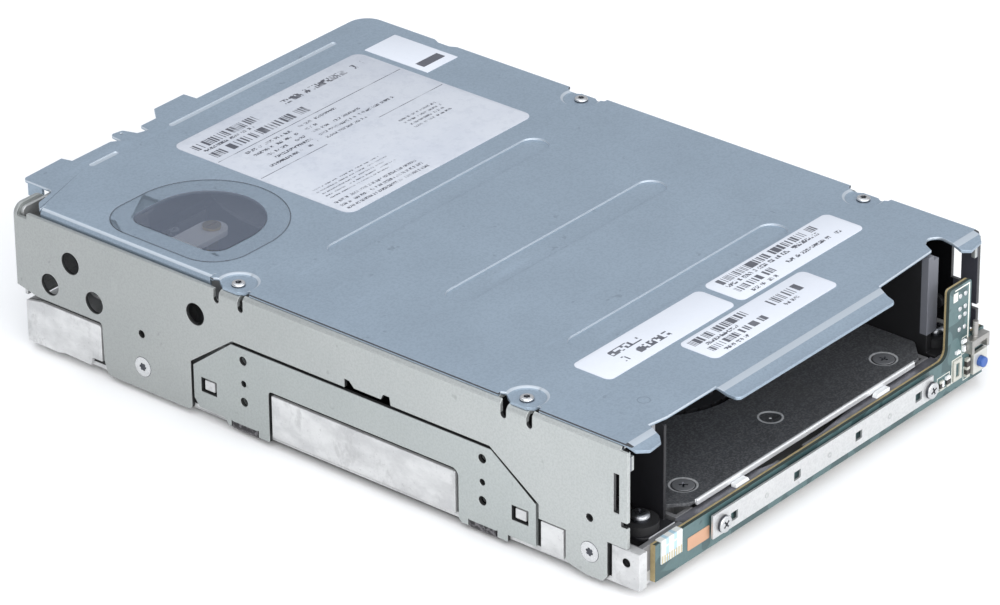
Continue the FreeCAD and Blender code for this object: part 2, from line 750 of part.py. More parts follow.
def load_gear():
    gear = plan_prism(gear_outline(load_teeth, load_pitch_r, math.pi / load_teeth), 8.6, 11.0)
    gear.translate(at(load_x, hub_y, 0))
    hub = rod(load_x, hub_y, 8.6, 11.9, 4.0)
    holes = [rod(load_x, hub_y, 8, 13, pin_r + run_gap)]
    for i in range(5):
        hole = rod(load_x + 8.0, hub_y, 8, 13, 1.8)
        holes.append(turned(hole, load_x, hub_y, 72.0 * i))
    return join([gear, hub]).cut(Part.makeCompound(holes))


def load_gear_pin():
    head = rod(load_x, hub_y, 12.1, 12.7, pin_r + 0.8)
    return join([rod(load_x, hub_y, web_top, 12.2, pin_r), head])


worm_r = 2.2
worm_gap = 0.35
worm_x = load_x - load_pitch_r - 0.8 * ring_module - worm_gap - worm_r
worm_z = 9.9
worm_front = 42.5
worm_rear = 56.5
worm_shaft_r = 1.0
load_can_r = bay_floor - guide_t - worm_z - 0.2
load_can_rear = 82.0


def load_worm():
    body = rod_y(worm_front + 0.3, worm_rear - 0.3, worm_x, worm_z, worm_r)
    shaft = rod_y(worm_front - 2.4, worm_rear + 3.0, worm_x, worm_z, worm_shaft_r)
    return join([body, shaft])


def worm_bearing():
    """Post of the casting that carries the free end of the worm."""
    post = block(worm_x - 2.6, worm_x + 2.6, worm_front - 2.5, worm_front, web_top - 1, worm_z + 2.6)
    return post.cut(rod_y(worm_front - 3, worm_front + 1, worm_x, worm_z, worm_shaft_r + run_gap))


def motor_pocket():
    return block(worm_x - load_can_r - seat_gap, worm_x + load_can_r + seat_gap,
                 worm_front + 0.01, load_can_rear + 2.0, web_bottom - 1, 20.0)


def load_motor():
    can = rod_y(worm_rear + 1.2, load_can_rear, worm_x, worm_z, load_can_r)
    nose = rod_y(worm_rear + 0.2, worm_rear + 1.3, worm_x, worm_z, 2.4)
    ears = block(worm_x - 8.0, worm_x + 4.0, worm_rear + 1.2, worm_rear + 2.4, web_top, worm_z + 3.0)
    bore = rod_y(worm_rear, worm_rear + 3.4, worm_x, worm_z, worm_shaft_r + run_gap)
    tail = rod_y(load_can_rear, load_can_rear + 1.0, worm_x, worm_z, 1.6)
    return join([can, nose, ears, tail]).cut(bore)


# ---- Cartridge bay ---------------------------------------------------------------

def floor_plate():
    """Bay floor with the round cut over the hub, a turned-down lip and dished screw seats."""
    under = bay_floor - guide_t
    front = 0.6
    points = [(-47.6, front), (47.6, front), (bay_half - 0.2, 6.5, 2.0), (bay_half - 0.2, bay_depth - 4),
              (46.0, bay_depth), (-46.0, bay_depth),
              (-bay_half + 0.2, bay_depth - 4), (-bay_half + 0.2, 6.5, 2.0)]
    plate = plan_prism(points, under, bay_floor)
    lip = side_prism([(front - 0.5, under - 0.6), (front - 0.5, bay_floor, 0.5), (front + 1.5, bay_floor),
                      (front + 1.5, under), (front + 0.5, under), (front + 0.5, under - 0.6)], -45.3, 45.3)
    solids = [plate, lip]
    for side in (-1, 1):
        stop = block(side * 35 - 5, side * 35 + 5, bay_depth - guide_t, bay_depth, under, bay_floor + 7)
        solids.append(stop)
    cuts = [rod(0, hub_y, under - 1, bay_floor + 1, floor_hole_r)]
    for x, y in post_spots():
        cuts.append(rod(x, y, under - 1, bay_floor + 1, 1.6))
        cuts.append(Part.makeCone(2.2, 4.4, 0.6, at(x, y, bay_floor - 0.55)))
    cuts.append(Part.makeCone(1.2, 3.0, 0.5, at(0, 12.0, bay_floor - 0.45)))
    return join(solids).cut(Part.makeCompound(cuts))


def floor_plate_screws():
    screws = []
    for x, y in post_spots():
        seat = bay_floor - 0.55
        head = Part.makeCone(2.15, 2.9, 0.45, at(x, y, seat + 0.05))
        screws.append(join([head, rod(x, y, seat - 5.5, seat + 0.1, 1.2)]))
    return screws


foot_z = 11.2
isolator_top = foot_z + 3.4
guide_rear = bay_depth - 11.0
guide_top = 39.4


def guide_foot(y, inner):
    """Ear of a guide around one isolator."""
    ear = plan_prism([(-grommet_x - 4.6, y - 5.2, 3.0), (-inner, y - 5.2), (-inner, y + 5.2),
                      (-grommet_x - 4.6, y + 5.2, 3.0)], foot_z, foot_z + guide_t)
    return ear.cut(rod(-grommet_x, y, foot_z - 1, foot_z + 2, 3.6))


def left_guide():
    """Bent black sheet between the bay and the left wall."""
    x1 = -bay_half
    x0 = x1 - guide_t
    front = guide_front
    sheet = side_prism([(front, 10.2), (front, guide_top - 1.0), (front + 2.0, guide_top),
                        (12.0, guide_top), (14.0, 37.0),
                        (guide_rear, 37.0, 3.0), (guide_rear, 13.6), (13.0, 13.6), (11.0, 10.2)], x0, x1)
    rear_web = block(x0, x1, guide_rear - 4, grommet_rear_y + 5.2, foot_z, 16.0)
    feet = [guide_foot(grommet_front_y, x1 * -1), guide_foot(grommet_rear_y, x1 * -1)]
    return join([sheet, rear_web] + feet)


def right_guide():
    """Moulded black guide with a front rib, a hooked top and back ribs."""
    x0 = bay_half
    x1 = x0 + 1.4
    wall = side_prism([(3.6, 10.6), (3.6, 37.6, 1.5), (guide_rear, 37.6, 3.0), (guide_rear, 13.6),
                       (13.0, 13.6), (11.0, 10.6)], x0, x1)
    rib = side_prism([(3.0, 17.0), (3.0, 38.2), (5.0, 38.2), (5.0, 17.0)], x0, x0 + 4.4)
    toe = side_prism([(3.0, 10.6), (3.0, 17.1), (5.0, 17.1), (5.0, 10.6)], x0, x0 + 2.0)
    hook = side_prism([(3.0, 36.0), (3.0, 39.6), (9.0, 39.6, 1.0), (9.0, 36.0)], x0 - 0.0, x0 + 2.2)
    ribs = []
    for i in range(4):
        y = 22.0 + i * 20.0
        ribs.append(block(x1 - 0.2, x1 + 2.6, y, y + 1.2, 16.0, 35.0))
    rear_web = block(x0, x1, guide_rear - 4, grommet_rear_y + 5.2, foot_z, 16.0)
    feet = [mirrored(guide_foot(grommet_front_y, x0)), mirrored(guide_foot(grommet_rear_y, x0))]
    return join([wall, rib, toe, hook, rear_web] + ribs + feet)


def guide_clip():
    """Small grey spring clip over the top front corner of the left guide."""
    x0 = -bay_half - guide_t
    z = guide_top
    return front_prism([(x0 - 1.4, z - 5.0), (x0 - 0.1, z - 5.0), (x0 - 0.1, z + 0.1),
                        (-bay_half + 0.1, z + 0.1), (-bay_half + 0.1, z - 3.0),
                        (-bay_half + 0.8, z - 3.0), (-bay_half + 0.8, z + 0.9),
                        (x0 - 1.4, z + 0.9)], guide_front + 2.6, guide_front + 7.6)


def cartridge_springs():
    """Leaf strips along the front beam, under the mouth of the bay."""
    return tapered_leaves(rim_top - spring_t, rim_top, 0.1)


def centering_tabs():
    """White plastic glide blocks on the front beam."""
    tabs = []
    for side in (-1, 1):
        tabs.append(front_prism([(side * 32.0, rim_top), (side * 26.4, rim_top), (side * 27.2, rim_top + 1.1),
                                 (side * 32.0, rim_top + 1.1)], base_front + 0.2, 0.0))
    return tabs


def isolator_grommets():
    grommets = []
    for x, y in grommet_spots():
        outer = rod(x, y, ledge_top, isolator_top, 4.8)
        groove = tube(x, y, foot_z - 0.05, foot_z + guide_t + 0.05, 6.0, 3.4)
        grommets.append(outer.cut(groove).cut(rod(x, y, ledge_top - 1, foot_z + 4, pin_r + 0.6)))
    return grommets


def isolator_screws():
    """Pan-head screws through the isolators."""
    seat = isolator_top
    length = seat - web_bottom - 0.4
    return [pan_screw(x, y, seat, length, 2.6, 1.9, pin_r - 0.05) for x, y in grommet_spots()]


# ---- Take-up reel, tape path and head --------------------------------------------

reel_bore_r = 2.56


def take_up_motor():
    can = rod(reel_x, reel_y, web_top, tape_low - 1.5, 20.0)
    foot = tube(reel_x, reel_y, web_top, web_top + 1.0, 24.0, 19.0)
    boss = rod(reel_x, reel_y, web_bottom + 0.3, web_top + 0.1, 8.6)
    post = rod(reel_x, reel_y, tape_low - 1.6, tape_high + 2.6, reel_bore_r - run_gap)
    return join([can, foot, boss, post])


def take_up_reel():
    flange_t = 1.2
    hub_r = reel_r - 20.0
    profile = [(reel_bore_r, tape_low - flange_t), (reel_r, tape_low - flange_t),
               (reel_r, tape_low - 0.2), (hub_r, tape_low), (hub_r, tape_high), (reel_r, tape_high + 0.2),
               (reel_r, tape_high + flange_t), (11.0, tape_high + flange_t), (9.0, tape_high - 2.0),
               (reel_bore_r, tape_high - 2.0)]
    face = outline(profile, lambda p: at(reel_x + p.x, reel_y, p.y))
    reel = face.revolve(at(reel_x, reel_y, 0), at(0, 0, 1), 360)
    flange_middle = (reel_r + hub_r) / 2
    hole_r = 0.3 * (reel_r - hub_r)
    holes = []
    for i in range(6):
        hole = rod(reel_x + flange_middle, reel_y, tape_high - 0.5, tape_high + 3, hole_r)
        holes.append(turned(hole, reel_x, reel_y, 60.0 * i))
    notch = block(reel_x - hub_r - 1.0, reel_x - hub_r + 3.0, reel_y - 2.0, reel_y + 2.0,
                  tape_low + 2.0, tape_high - 2.0)
    return reel.cut(Part.makeCompound(holes + [notch]))


def roller_spots():
    left = -wall_inner
    return [(left + 13.8, head_y - 40.0), (left + 9.8, head_y - 21.0), (left + 9.8, head_y + 21.0),
            (left + 27.8, head_y + 32.0)]


def tape_roller(x, y):
    low = tape_low - 0.6
    high = tape_high + 0.6
    profile = [(pin_r + run_gap, low), (roller_r + 1.5, low),
               (roller_r + 1.5, low + 0.8), (roller_r, low + 0.8), (roller_r, high - 0.8),
               (roller_r + 1.5, high - 0.8), (roller_r + 1.5, high), (pin_r + run_gap, high)]
    face = outline(profile, lambda p: at(x + p.x, y, p.y))
    return face.revolve(at(x, y, 0), at(0, 0, 1), 360)


def roller_pins():
    pins = []
    for x, y in roller_spots():
        low = tape_low - 0.8
        post = rod(x, y, web_top, low, 3.2)
        head = rod(x, y, tape_high + 0.8, tape_high + 1.8, 2.4)
        pins.append(join([post, rod(x, y, low - 0.1, tape_high + 0.9, pin_r), head]))
    return pins


bridge_low = 36.9
bridge_high = 38.4
bridge_half = 4.2


def bridge_column():
    left = -wall_inner + 2.6
    return block(left, left + 5.0, head_y - bridge_half, head_y + bridge_half, web_top - 1, bridge_low)


def head_bridge():
    """Arm across the top of the leadscrew, screwed to a column of the casting."""
    radius = bridge_half - 0.01
    arm = plan_prism([(-wall_inner + 2.8, head_y - bridge_half),
                      (screw_x + bridge_half, head_y - bridge_half, radius),
                      (screw_x + bridge_half, head_y + bridge_half, radius),
                      (-wall_inner + 2.8, head_y + bridge_half)], bridge_low, bridge_high)
    arm = arm.cut(rod(screw_x, head_y, bridge_low - 1, bridge_high + 1, screw_r + run_gap))
    screw_head = rod(4.8 - wall_inner, head_y, bridge_high, bridge_high + 0.9, 2.2)
    return join([arm, screw_head])


screw_r = 1.6
carriage_low = 17.0
carriage_high = 24.0
guide_pin_y = head_y + 9.8


def leadscrew():
    shaft = rod(screw_x, head_y, 13.0, bridge_high + 0.5, screw_r)
    collar = rod(screw_x, head_y, bridge_high + 0.1, bridge_high + 0.9, screw_r + 0.9)
    low_collar = rod(screw_x, head_y, 15.3, 16.1, screw_r + 1.2)
    slot = block(screw_x - 1.9, screw_x + 1.9, head_y - 0.35, head_y + 0.35,
                 bridge_high + 0.5, bridge_high + 2)
    return join([shaft, collar, low_collar]).cut(slot)


def stepper_motor():
    can = rod(screw_x, head_y, web_top, 15.0, 8.0)
    ears = plan_prism(stadium(screw_x - 11, screw_x + 11, head_y - 3, head_y + 3), web_top, web_top + 1.0)
    return join([can, ears]).cut(rod(screw_x, head_y, 12.8, 16, screw_r + run_gap))


def guide_pin():
    return rod(screw_x - 4.0, guide_pin_y, web_top, bridge_low - 0.6, pin_r)


def head_carriage():
    face = screw_x - 10.4
    points = [(face, head_y - 7.0, 1.0), (screw_x, head_y - 5.0, 3.0), (screw_x + 5.0, head_y - 4.0, 2.0),
              (screw_x + 5.0, head_y + 4.0, 2.0), (screw_x - 1.0, guide_pin_y + 3.5, 2.0),
              (face, guide_pin_y + 3.5, 1.0)]
    block_shape = plan_prism(points, carriage_low, carriage_high)
    block_shape = block_shape.cut(rod(screw_x, head_y, 10, 40, screw_r + run_gap))
    return block_shape.cut(rod(screw_x - 4.0, guide_pin_y, 10, 40, pin_r + run_gap))


def tape_head():
    """Rounded ceramic head on the carriage's tape side."""
    face = screw_x - 10.4
    points = [(face, head_y - 6.0), (face, head_y + 6.0), (face - 3.4, head_y + 5.0, 2.0),
              (face - 3.4, head_y - 5.0, 2.0)]
    return plan_prism(points, carriage_low + 0.5, carriage_high + 1.0)


arm_pivot_x = 20.2 - bay_half
arm_pivot_y = bay_depth + 9.0
arm_end_x = -bay_half - 2.3
arm_end_y = bay_depth + 1.0
arm_z = 28.0
arm_t = 2.4


def capsule(x0, y0, x1, y1, r0, r1, z0, z1):
    """Tapered lever plan: two round ends joined by their hull."""
    angle = math.atan2(y1 - y0, x1 - x0)
    nx, ny = -math.sin(angle), math.cos(angle)
    web = plan_prism([(x0 + nx * r0, y0 + ny * r0), (x0 - nx * r0, y0 - ny * r0),
                      (x1 - nx * r1, y1 - ny * r1), (x1 + nx * r1, y1 + ny * r1)], z0, z1)
    return join([web, rod(x0, y0, z0, z1, r0), rod(x1, y1, z0, z1, r1)])


def leader_arm():
    arm = capsule(arm_pivot_x, arm_pivot_y, arm_end_x, arm_end_y, 4.0, 2.2, arm_z, arm_z + arm_t)
    boss = rod(arm_pivot_x, arm_pivot_y, arm_z - 2.0, arm_z + arm_t, 3.6)
    finger = rod(arm_end_x, arm_end_y, arm_z - 4.0, arm_z + 0.1, 1.2)
    return join([arm, boss, finger]).cut(rod(arm_pivot_x, arm_pivot_y, 20, 40, pin_r + run_gap))


def leader_arm_pin():
    post = rod(arm_pivot_x, arm_pivot_y, web_top, arm_z - 2.3, 3.2)
    head = rod(arm_pivot_x, arm_pivot_y, arm_z + arm_t + 0.3, arm_z + arm_t + 1.2, 2.6)
    return join([post, rod(arm_pivot_x, arm_pivot_y, arm_z - 2.4, arm_z + arm_t + 0.4, pin_r), head])


door_x = wall_inner - 9.3
door_y = bay_depth - 7.0
door_z = 20.0


def door_lever():
    lever = capsule(door_x, door_y, door_x - 1.0, door_y + 13.0, 3.4, 1.8, door_z, door_z + 2.0)
    nose = rod(door_x - 1.0, door_y + 13.0, door_z, door_z + 5.0, 1.4)
    return join([lever, nose]).cut(rod(door_x, door_y, door_z - 1, door_z + 4, pin_r + run_gap))


def door_lever_pin():
    post = rod(door_x, door_y, web_top, door_z - 0.3, 3.0)
    head = rod(door_x, door_y, door_z + 2.3, door_z + 3.1, 2.5)
    return join([post, rod(door_x, door_y, door_z - 0.4, door_z + 2.4, pin_r), head])


# ---- Circuit boards and connectors -----------------------------------------------

board_left = 6.6 - half_width
board_right = half_width - 2.6
tab_left = bay_half + 0.4
tab_right = half_width - 8.8
tab_top = 32.0
button_x = half_width - 5.8
button_z = 7.2
button_r = 1.45


def front_board():
    points = [(board_left, board_bottom), (board_right, board_bottom), (board_right, 15.6), (tab_right, 15.6),
              (tab_right, tab_top, 1.0), (tab_left, tab_top, 1.0), (tab_left, board_top, 3.0),
              (board_left, board_top)]
    board = front_prism(points, board_face, board_back)
    holes = []
    for x in stiffener_screw_xs():
        holes.append(rod_y(board_face - 1, board_back + 1, x, stiffener_z(), 1.3))
    return board.cut(Part.makeCompound(holes))


def stiffener_screw_xs():
    return [-post_x, post_x + 3.6]


def stiffener_z():
    return (stiffener_low + stiffener_high) / 2 - 0.4


stiffener_low = 5.1
stiffener_high = 11.7
stiffener_holes = 4


def board_stiffener():
    x0 = stiffener_screw_xs()[0] - 4.0
    x1 = stiffener_screw_xs()[1] + 1.2
    low = stiffener_low
    high = stiffener_high
    strip = front_prism([(x0, low), (x1, low), (x1, high), (x0, high)], stiffener_face, stiffener_back)
    cuts = []
    z = stiffener_z()
    for i in range(stiffener_holes):
        x = x0 + 8.6 + i * 25.7
        cuts.append(block(x - 1.4, x + 1.4, stiffener_face - 1, board_face + 1, z - 1.2, z + 1.3))
    for x in stiffener_screw_xs():
        cuts.append(rod_y(stiffener_face - 1, board_face + 1, x, z, 1.3))
    return strip.cut(Part.makeCompound(cuts))


def stiffener_screws():
    screws = []
    for x in stiffener_screw_xs():
        head = rod_y(stiffener_face - 1.1, stiffener_face, x, stiffener_z(), 2.4)
        spacer = rod_y(stiffener_back, board_face, x, stiffener_z(), 2.2)
        screws.append(join([head, spacer, rod_y(stiffener_face - 0.1, board_back, x, stiffener_z(), 1.25)]))
    return screws


def flex_tail():
    """Flat cable that folds over the board's top edge down to its contacts."""
    x0 = board_left + 2.0
    x1 = x0 + 8.2
    t = 0.35
    profile = [(board_face - t, 6.2), (board_face, 6.2), (board_face, board_top), (board_back, board_top),
               (board_back, board_top + t), (board_face - t, board_top + t, 0.3)]
    return side_prism(profile, x0, x1)


def eject_switch_body():
    half = 3.0
    body = block(button_x - half, button_x + half, board_face - 1.6, board_face,
                 button_z - half, button_z + half)
    return body.cut(rod_y(board_face - 2, board_face - 0.4, button_x, button_z, button_r + 0.08))


def eject_button():
    return rod_y(-button_reach, board_face - 0.75, button_x, button_z, button_r)


def sensor_can():
    x0 = button_x - 5.2
    x1 = x0 + 7.6
    can = block(x0, x1, board_face - 2.6, board_face, 11.2, 15.2)
    can = can.cut(block(x0 + 1.0, x1 - 1.0, board_face - 3.0, board_face - 0.8, 11.0, 13.6))
    pin = rod(x0 + 3.2, board_face - 1.0, 15.1, 19.6, 0.8)
    return join([can, pin])


def front_board_parts():
    """Small surface-mounted parts: a soldered link frame and paired chips."""
    parts = []
    for i in range(2):
        x = tab_left - 3.6 + i * 3.0
        parts.append(block(x, x + 1.6, board_face - 0.6, board_face, 4.6, 7.4))
    x = tab_left + 2.4
    frame = block(x, x + 3.6, board_face - 0.5, board_face, 4.6, 10.6)
    parts.append(frame.cut(block(x + 1.0, x + 2.6, board_face - 1, board_face + 1, 5.6, 9.6)))
    x = button_x - 5.0
    parts.append(block(x, x + 1.4, board_face - 1.0, board_face, 4.0, 9.4))
    return parts


def main_board():
    front = 9.0
    rear = rear_rim_y - rim_t - 0.6
    half = main_board_half
    points = [(-half, front, 2.0), (half, front, 2.0), (half, rear, 2.0), (-half, rear, 2.0)]
    board = plan_prism(points, main_board_z, main_board_z + board_t)
    cuts = []
    for x, y in main_board_screw_spots():
        cuts.append(rod(x, y, 0, 8, 1.6))
    for side in (-1, 1):
        for y in (mount_front_y, mount_rear_y):
            cuts.append(rod(side * bottom_hole_x, y, 0, 8, 5.5))
    return board.cut(Part.makeCompound(cuts))


def main_board_screw_spots():
    return [(side * (main_board_half - 6.0), y) for side in (-1, 1) for y in (22.0, wall_depth - 33.0)]


def main_board_screws():
    screws = []
    for x, y in main_board_screw_spots():
        head = rod(x, y, main_board_z - 1.2, main_board_z, 2.6)
        sleeve = rod(x, y, main_board_z + board_t, web_bottom, 3.0)
        screws.append(join([head, rod(x, y, main_board_z - 0.1, web_bottom, 1.5), sleeve]))
    return screws


def board_chips():
    """Packages on the underside of the main board."""
    z1 = main_board_z
    z0 = z1 - 1.5
    chips = [block(-14, 14, 60, 88, z0, z1), block(-44, -24, 64, 84, z0, z1)]
    for i in range(4):
        x = 26.0 + i * 9.5
        chips.append(block(x, x + 6.5, 62, 80, z0, z1))
    for i in range(3):
        x = -40.0 + i * 30.0
        chips.append(block(x, x + 13, 118, 131, z0, z1))
    for i in range(5):
        chips.append(block(-56 + i * 7.0, -53 + i * 7.0, 148, 153, z0, z1))
    return chips


def d_shell(x0, x1, z0, z1, y0, y1, slope):
    return front_prism([(x0 + slope, z0), (x1 - slope, z0), (x1, z1), (x0, z1)], y0, y1)


data_z0 = main_board_z + board_t
data_z1 = 12.6
body_front = wall_depth - 15.0      # connector bodies on the board
body_rear = wall_depth - 7.0
shroud_rear = wall_depth + 1.5


def data_connector():
    """Sixty-eight-way header: moulded body, D-shaped shroud and two rows of contacts."""
    start = body_rear - 0.1
    body = block(data_x0, data_x1, body_front, body_rear, data_z0, data_z1)
    shroud = d_shell(data_x0 + 4, data_x1 - 4, data_z0 + 0.6, data_z1 - 0.4, start, shroud_rear, 1.2)
    hollow = d_shell(data_x0 + 5, data_x1 - 5, data_z0 + 1.4, data_z1 - 1.2, body_rear, shroud_rear + 1, 1.2)
    shroud = shroud.cut(hollow)
    tongue = block(data_x0 + 8, data_x1 - 8, start, body_rear + 3.0, data_z0 + 3.4, data_z1 - 3.2)
    return join([body, shroud, tongue])


def power_connector():
    rear = shroud_rear
    z0 = data_z0
    z1 = z0 + 9.6
    shell = front_prism([(power_x0, z0), (power_x1, z0), (power_x1, z1 - 2.0), (power_x1 - 2.0, z1),
                         (power_x0 + 2.0, z1), (power_x0, z1 - 2.0)], body_front, rear)
    hollow = front_prism([(power_x0 + 1.2, z0 + 1.2), (power_x1 - 1.2, z0 + 1.2), (power_x1 - 1.2, z1 - 2.6),
                          (power_x1 - 2.6, z1 - 1.2), (power_x0 + 2.6, z1 - 1.2), (power_x0 + 1.2, z1 - 2.6)],
                         body_front + 4.0, rear + 1)
    pins = []
    for i in range(4):
        x = (power_x0 + power_x1) / 2 + (i - 1.5) * 5.08
        pins.append(rod_y(body_front + 3.9, rear - 5.0, x, (z0 + z1) / 2, 1.05))
    return join([shell.cut(hollow)] + pins)


def id_jumpers():
    """Pin header beside the data connector that sets the drive's address."""
    x0 = jumper_x0
    z0 = data_z0
    body = block(x0, x0 + jumper_width, body_rear - 2.0, body_rear + 1.0, z0, z0 + 5.2)
    pins = []
    for i in range(4):
        for k in range(2):
            x = x0 + 1.4 + i * 2.54
            z = z0 + 1.3 + k * 2.54
            pins.append(block(x - 0.32, x + 0.32, body_rear + 0.9, wall_depth + 0.5, z - 0.32, z + 0.32))
    return join([body] + pins)


# ---- Assembly --------------------------------------------------------------------

def save(name, shapes):
    if not isinstance(shapes, list):
        shapes = [shapes]
    solids = []
    for shape in shapes:
        solids += shape.Solids
    for solid in solids:
        if not solid.isValid() or solid.Volume <= 0:
            print("check", name, solid.isValid(), round(solid.Volume, 3))
    group = Part.makeCompound(solids)
    group.translate(origin_shift)
    group.exportStep("parts/" + name + ".step")


def main():
    os.makedirs("parts", exist_ok=True)
    save("top_cover", top_cover())
    save("window_film", window_film())
    save("cover_screws", cover_screws())
    save("left_side_wall", side_wall(False))
    save("right_side_wall", side_wall(True))
    plate = mount_plate()
    save("left_mount_plate", plate)
    save("right_mount_plate", mirrored(plate))
    save("side_screws", side_screws())
    save("rear_panel", rear_panel())
    save("base_casting", base_casting())
    save("lift_ring", lift_ring())
    save("hub_carrier", hub_carrier())
    save("reel_driver", reel_driver())
    save("supply_motor", supply_motor())
    save("load_gear", load_gear())
    save("load_gear_pin", load_gear_pin())
    save("load_worm", load_worm())
    save("load_motor", load_motor())
    save("bay_floor_plate", floor_plate())
    save("floor_plate_screws", floor_plate_screws())
    save("left_guide", left_guide())
    save("right_guide", right_guide())
    save("guide_clip", guide_clip())
    save("cartridge_springs", cartridge_springs())
    save("centering_tabs", centering_tabs())
    save("isolator_grommets", isolator_grommets())
    save("isolator_screws", isolator_screws())
    save("take_up_motor", take_up_motor())
    save("take_up_reel", take_up_reel())
    for i, (x, y) in enumerate(roller_spots()):
        save("tape_roller_%d" % (i + 1), tape_roller(x, y))
    save("roller_pins", roller_pins())
    save("head_bridge", head_bridge())
    save("leadscrew", leadscrew())
    save("stepper_motor", stepper_motor())
    save("guide_pin", guide_pin())
    save("head_carriage", head_carriage())
    save("tape_head", tape_head())
    save("leader_arm", leader_arm())
    save("leader_arm_pin", leader_arm_pin())
    save("door_lever", door_lever())
    save("door_lever_pin", door_lever_pin())
    save("front_board", front_board())
    save("board_stiffener", board_stiffener())
    save("stiffener_screws", stiffener_screws())
    save("flex_tail", flex_tail())
    save("eject_switch_body", eject_switch_body())
    save("eject_button", eject_button())
    save("sensor_can", sensor_can())
    save("front_board_parts", front_board_parts())
    save("main_board", main_board())
    save("main_board_screws", main_board_screws())
    save("board_chips", board_chips())
    save("data_connector", data_connector())
    save("power_connector", power_connector())
    save("id_jumpers", id_jumpers())


if __name__ == "__main__":
    main()
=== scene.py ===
import json
import math
import bmesh
import bpy
from mathutils import Matrix, Vector


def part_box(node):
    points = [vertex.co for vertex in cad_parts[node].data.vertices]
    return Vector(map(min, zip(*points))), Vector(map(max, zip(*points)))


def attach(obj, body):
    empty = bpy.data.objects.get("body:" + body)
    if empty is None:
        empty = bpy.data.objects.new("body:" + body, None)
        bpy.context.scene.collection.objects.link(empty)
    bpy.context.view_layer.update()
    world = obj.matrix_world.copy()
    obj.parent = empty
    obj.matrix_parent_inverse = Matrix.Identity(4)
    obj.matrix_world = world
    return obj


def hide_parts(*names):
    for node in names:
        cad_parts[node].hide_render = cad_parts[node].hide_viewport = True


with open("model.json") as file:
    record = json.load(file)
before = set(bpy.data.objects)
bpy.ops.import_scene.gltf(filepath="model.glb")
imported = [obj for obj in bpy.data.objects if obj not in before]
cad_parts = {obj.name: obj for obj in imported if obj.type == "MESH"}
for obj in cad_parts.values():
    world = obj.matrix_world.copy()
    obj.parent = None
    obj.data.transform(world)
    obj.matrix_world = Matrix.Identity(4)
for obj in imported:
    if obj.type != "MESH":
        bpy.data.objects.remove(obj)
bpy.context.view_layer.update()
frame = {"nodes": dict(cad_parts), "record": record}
nodes = frame["nodes"]
bodyOfNode = {node: body for body, held in frame["record"]["behaviour"]["bodies"].items() for node in held}
slotOfNode = {part["node"]: part["material_slot"] for part in frame["record"]["subparts"]}
mm = 0.001
print("frame loaded:", len(nodes), "nodes")


def corners(node):                          # lowest and highest corner of a node
    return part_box(node)


def middle(node):
    low, high = corners(node)
    return (low + high) / 2


# a socket that takes part in Python expressions

class Wire:
    def __init__(self, finish, socket):
        self.finish = finish
        self.socket = socket

    def sum(self, operation, first, second):
        return self.finish.node("ShaderNodeMath", {"operation": operation}, {0: first, 1: second})

    def __add__(self, other):
        return self.sum("ADD", self, other)

    def __sub__(self, other):
        return self.sum("SUBTRACT", self, other)

    def __rsub__(self, other):
        return self.sum("SUBTRACT", other, self)

    def __mul__(self, other):
        return self.sum("MULTIPLY", self, other)

    def __truediv__(self, other):
        return self.sum("DIVIDE", self, other)

    def __mod__(self, other):
        return self.sum("FLOORED_MODULO", self, other)

    def __gt__(self, other):
        return self.sum("GREATER_THAN", self, other)

    def __lt__(self, other):
        return self.sum("LESS_THAN", self, other)

    __radd__ = __add__
    __rmul__ = __mul__

    def inside(self, low, high):
        return (self > low) * (self < high)

    def either(self, other):
        return self.sum("MAXIMUM", self, other)

    def step(self, size):                   # number of the cell that the value lies in
        return self.sum("FLOOR", self / size, 0.0)

    def away(self, other):                  # distance from a value
        return self.sum("ABSOLUTE", self - other, 0.0)

    def root(self):
        return self.sum("SQRT", self, 0.0)

    def above(self, floor):                 # the value, and never less than the floor
        return self.sum("MAXIMUM", self, floor)


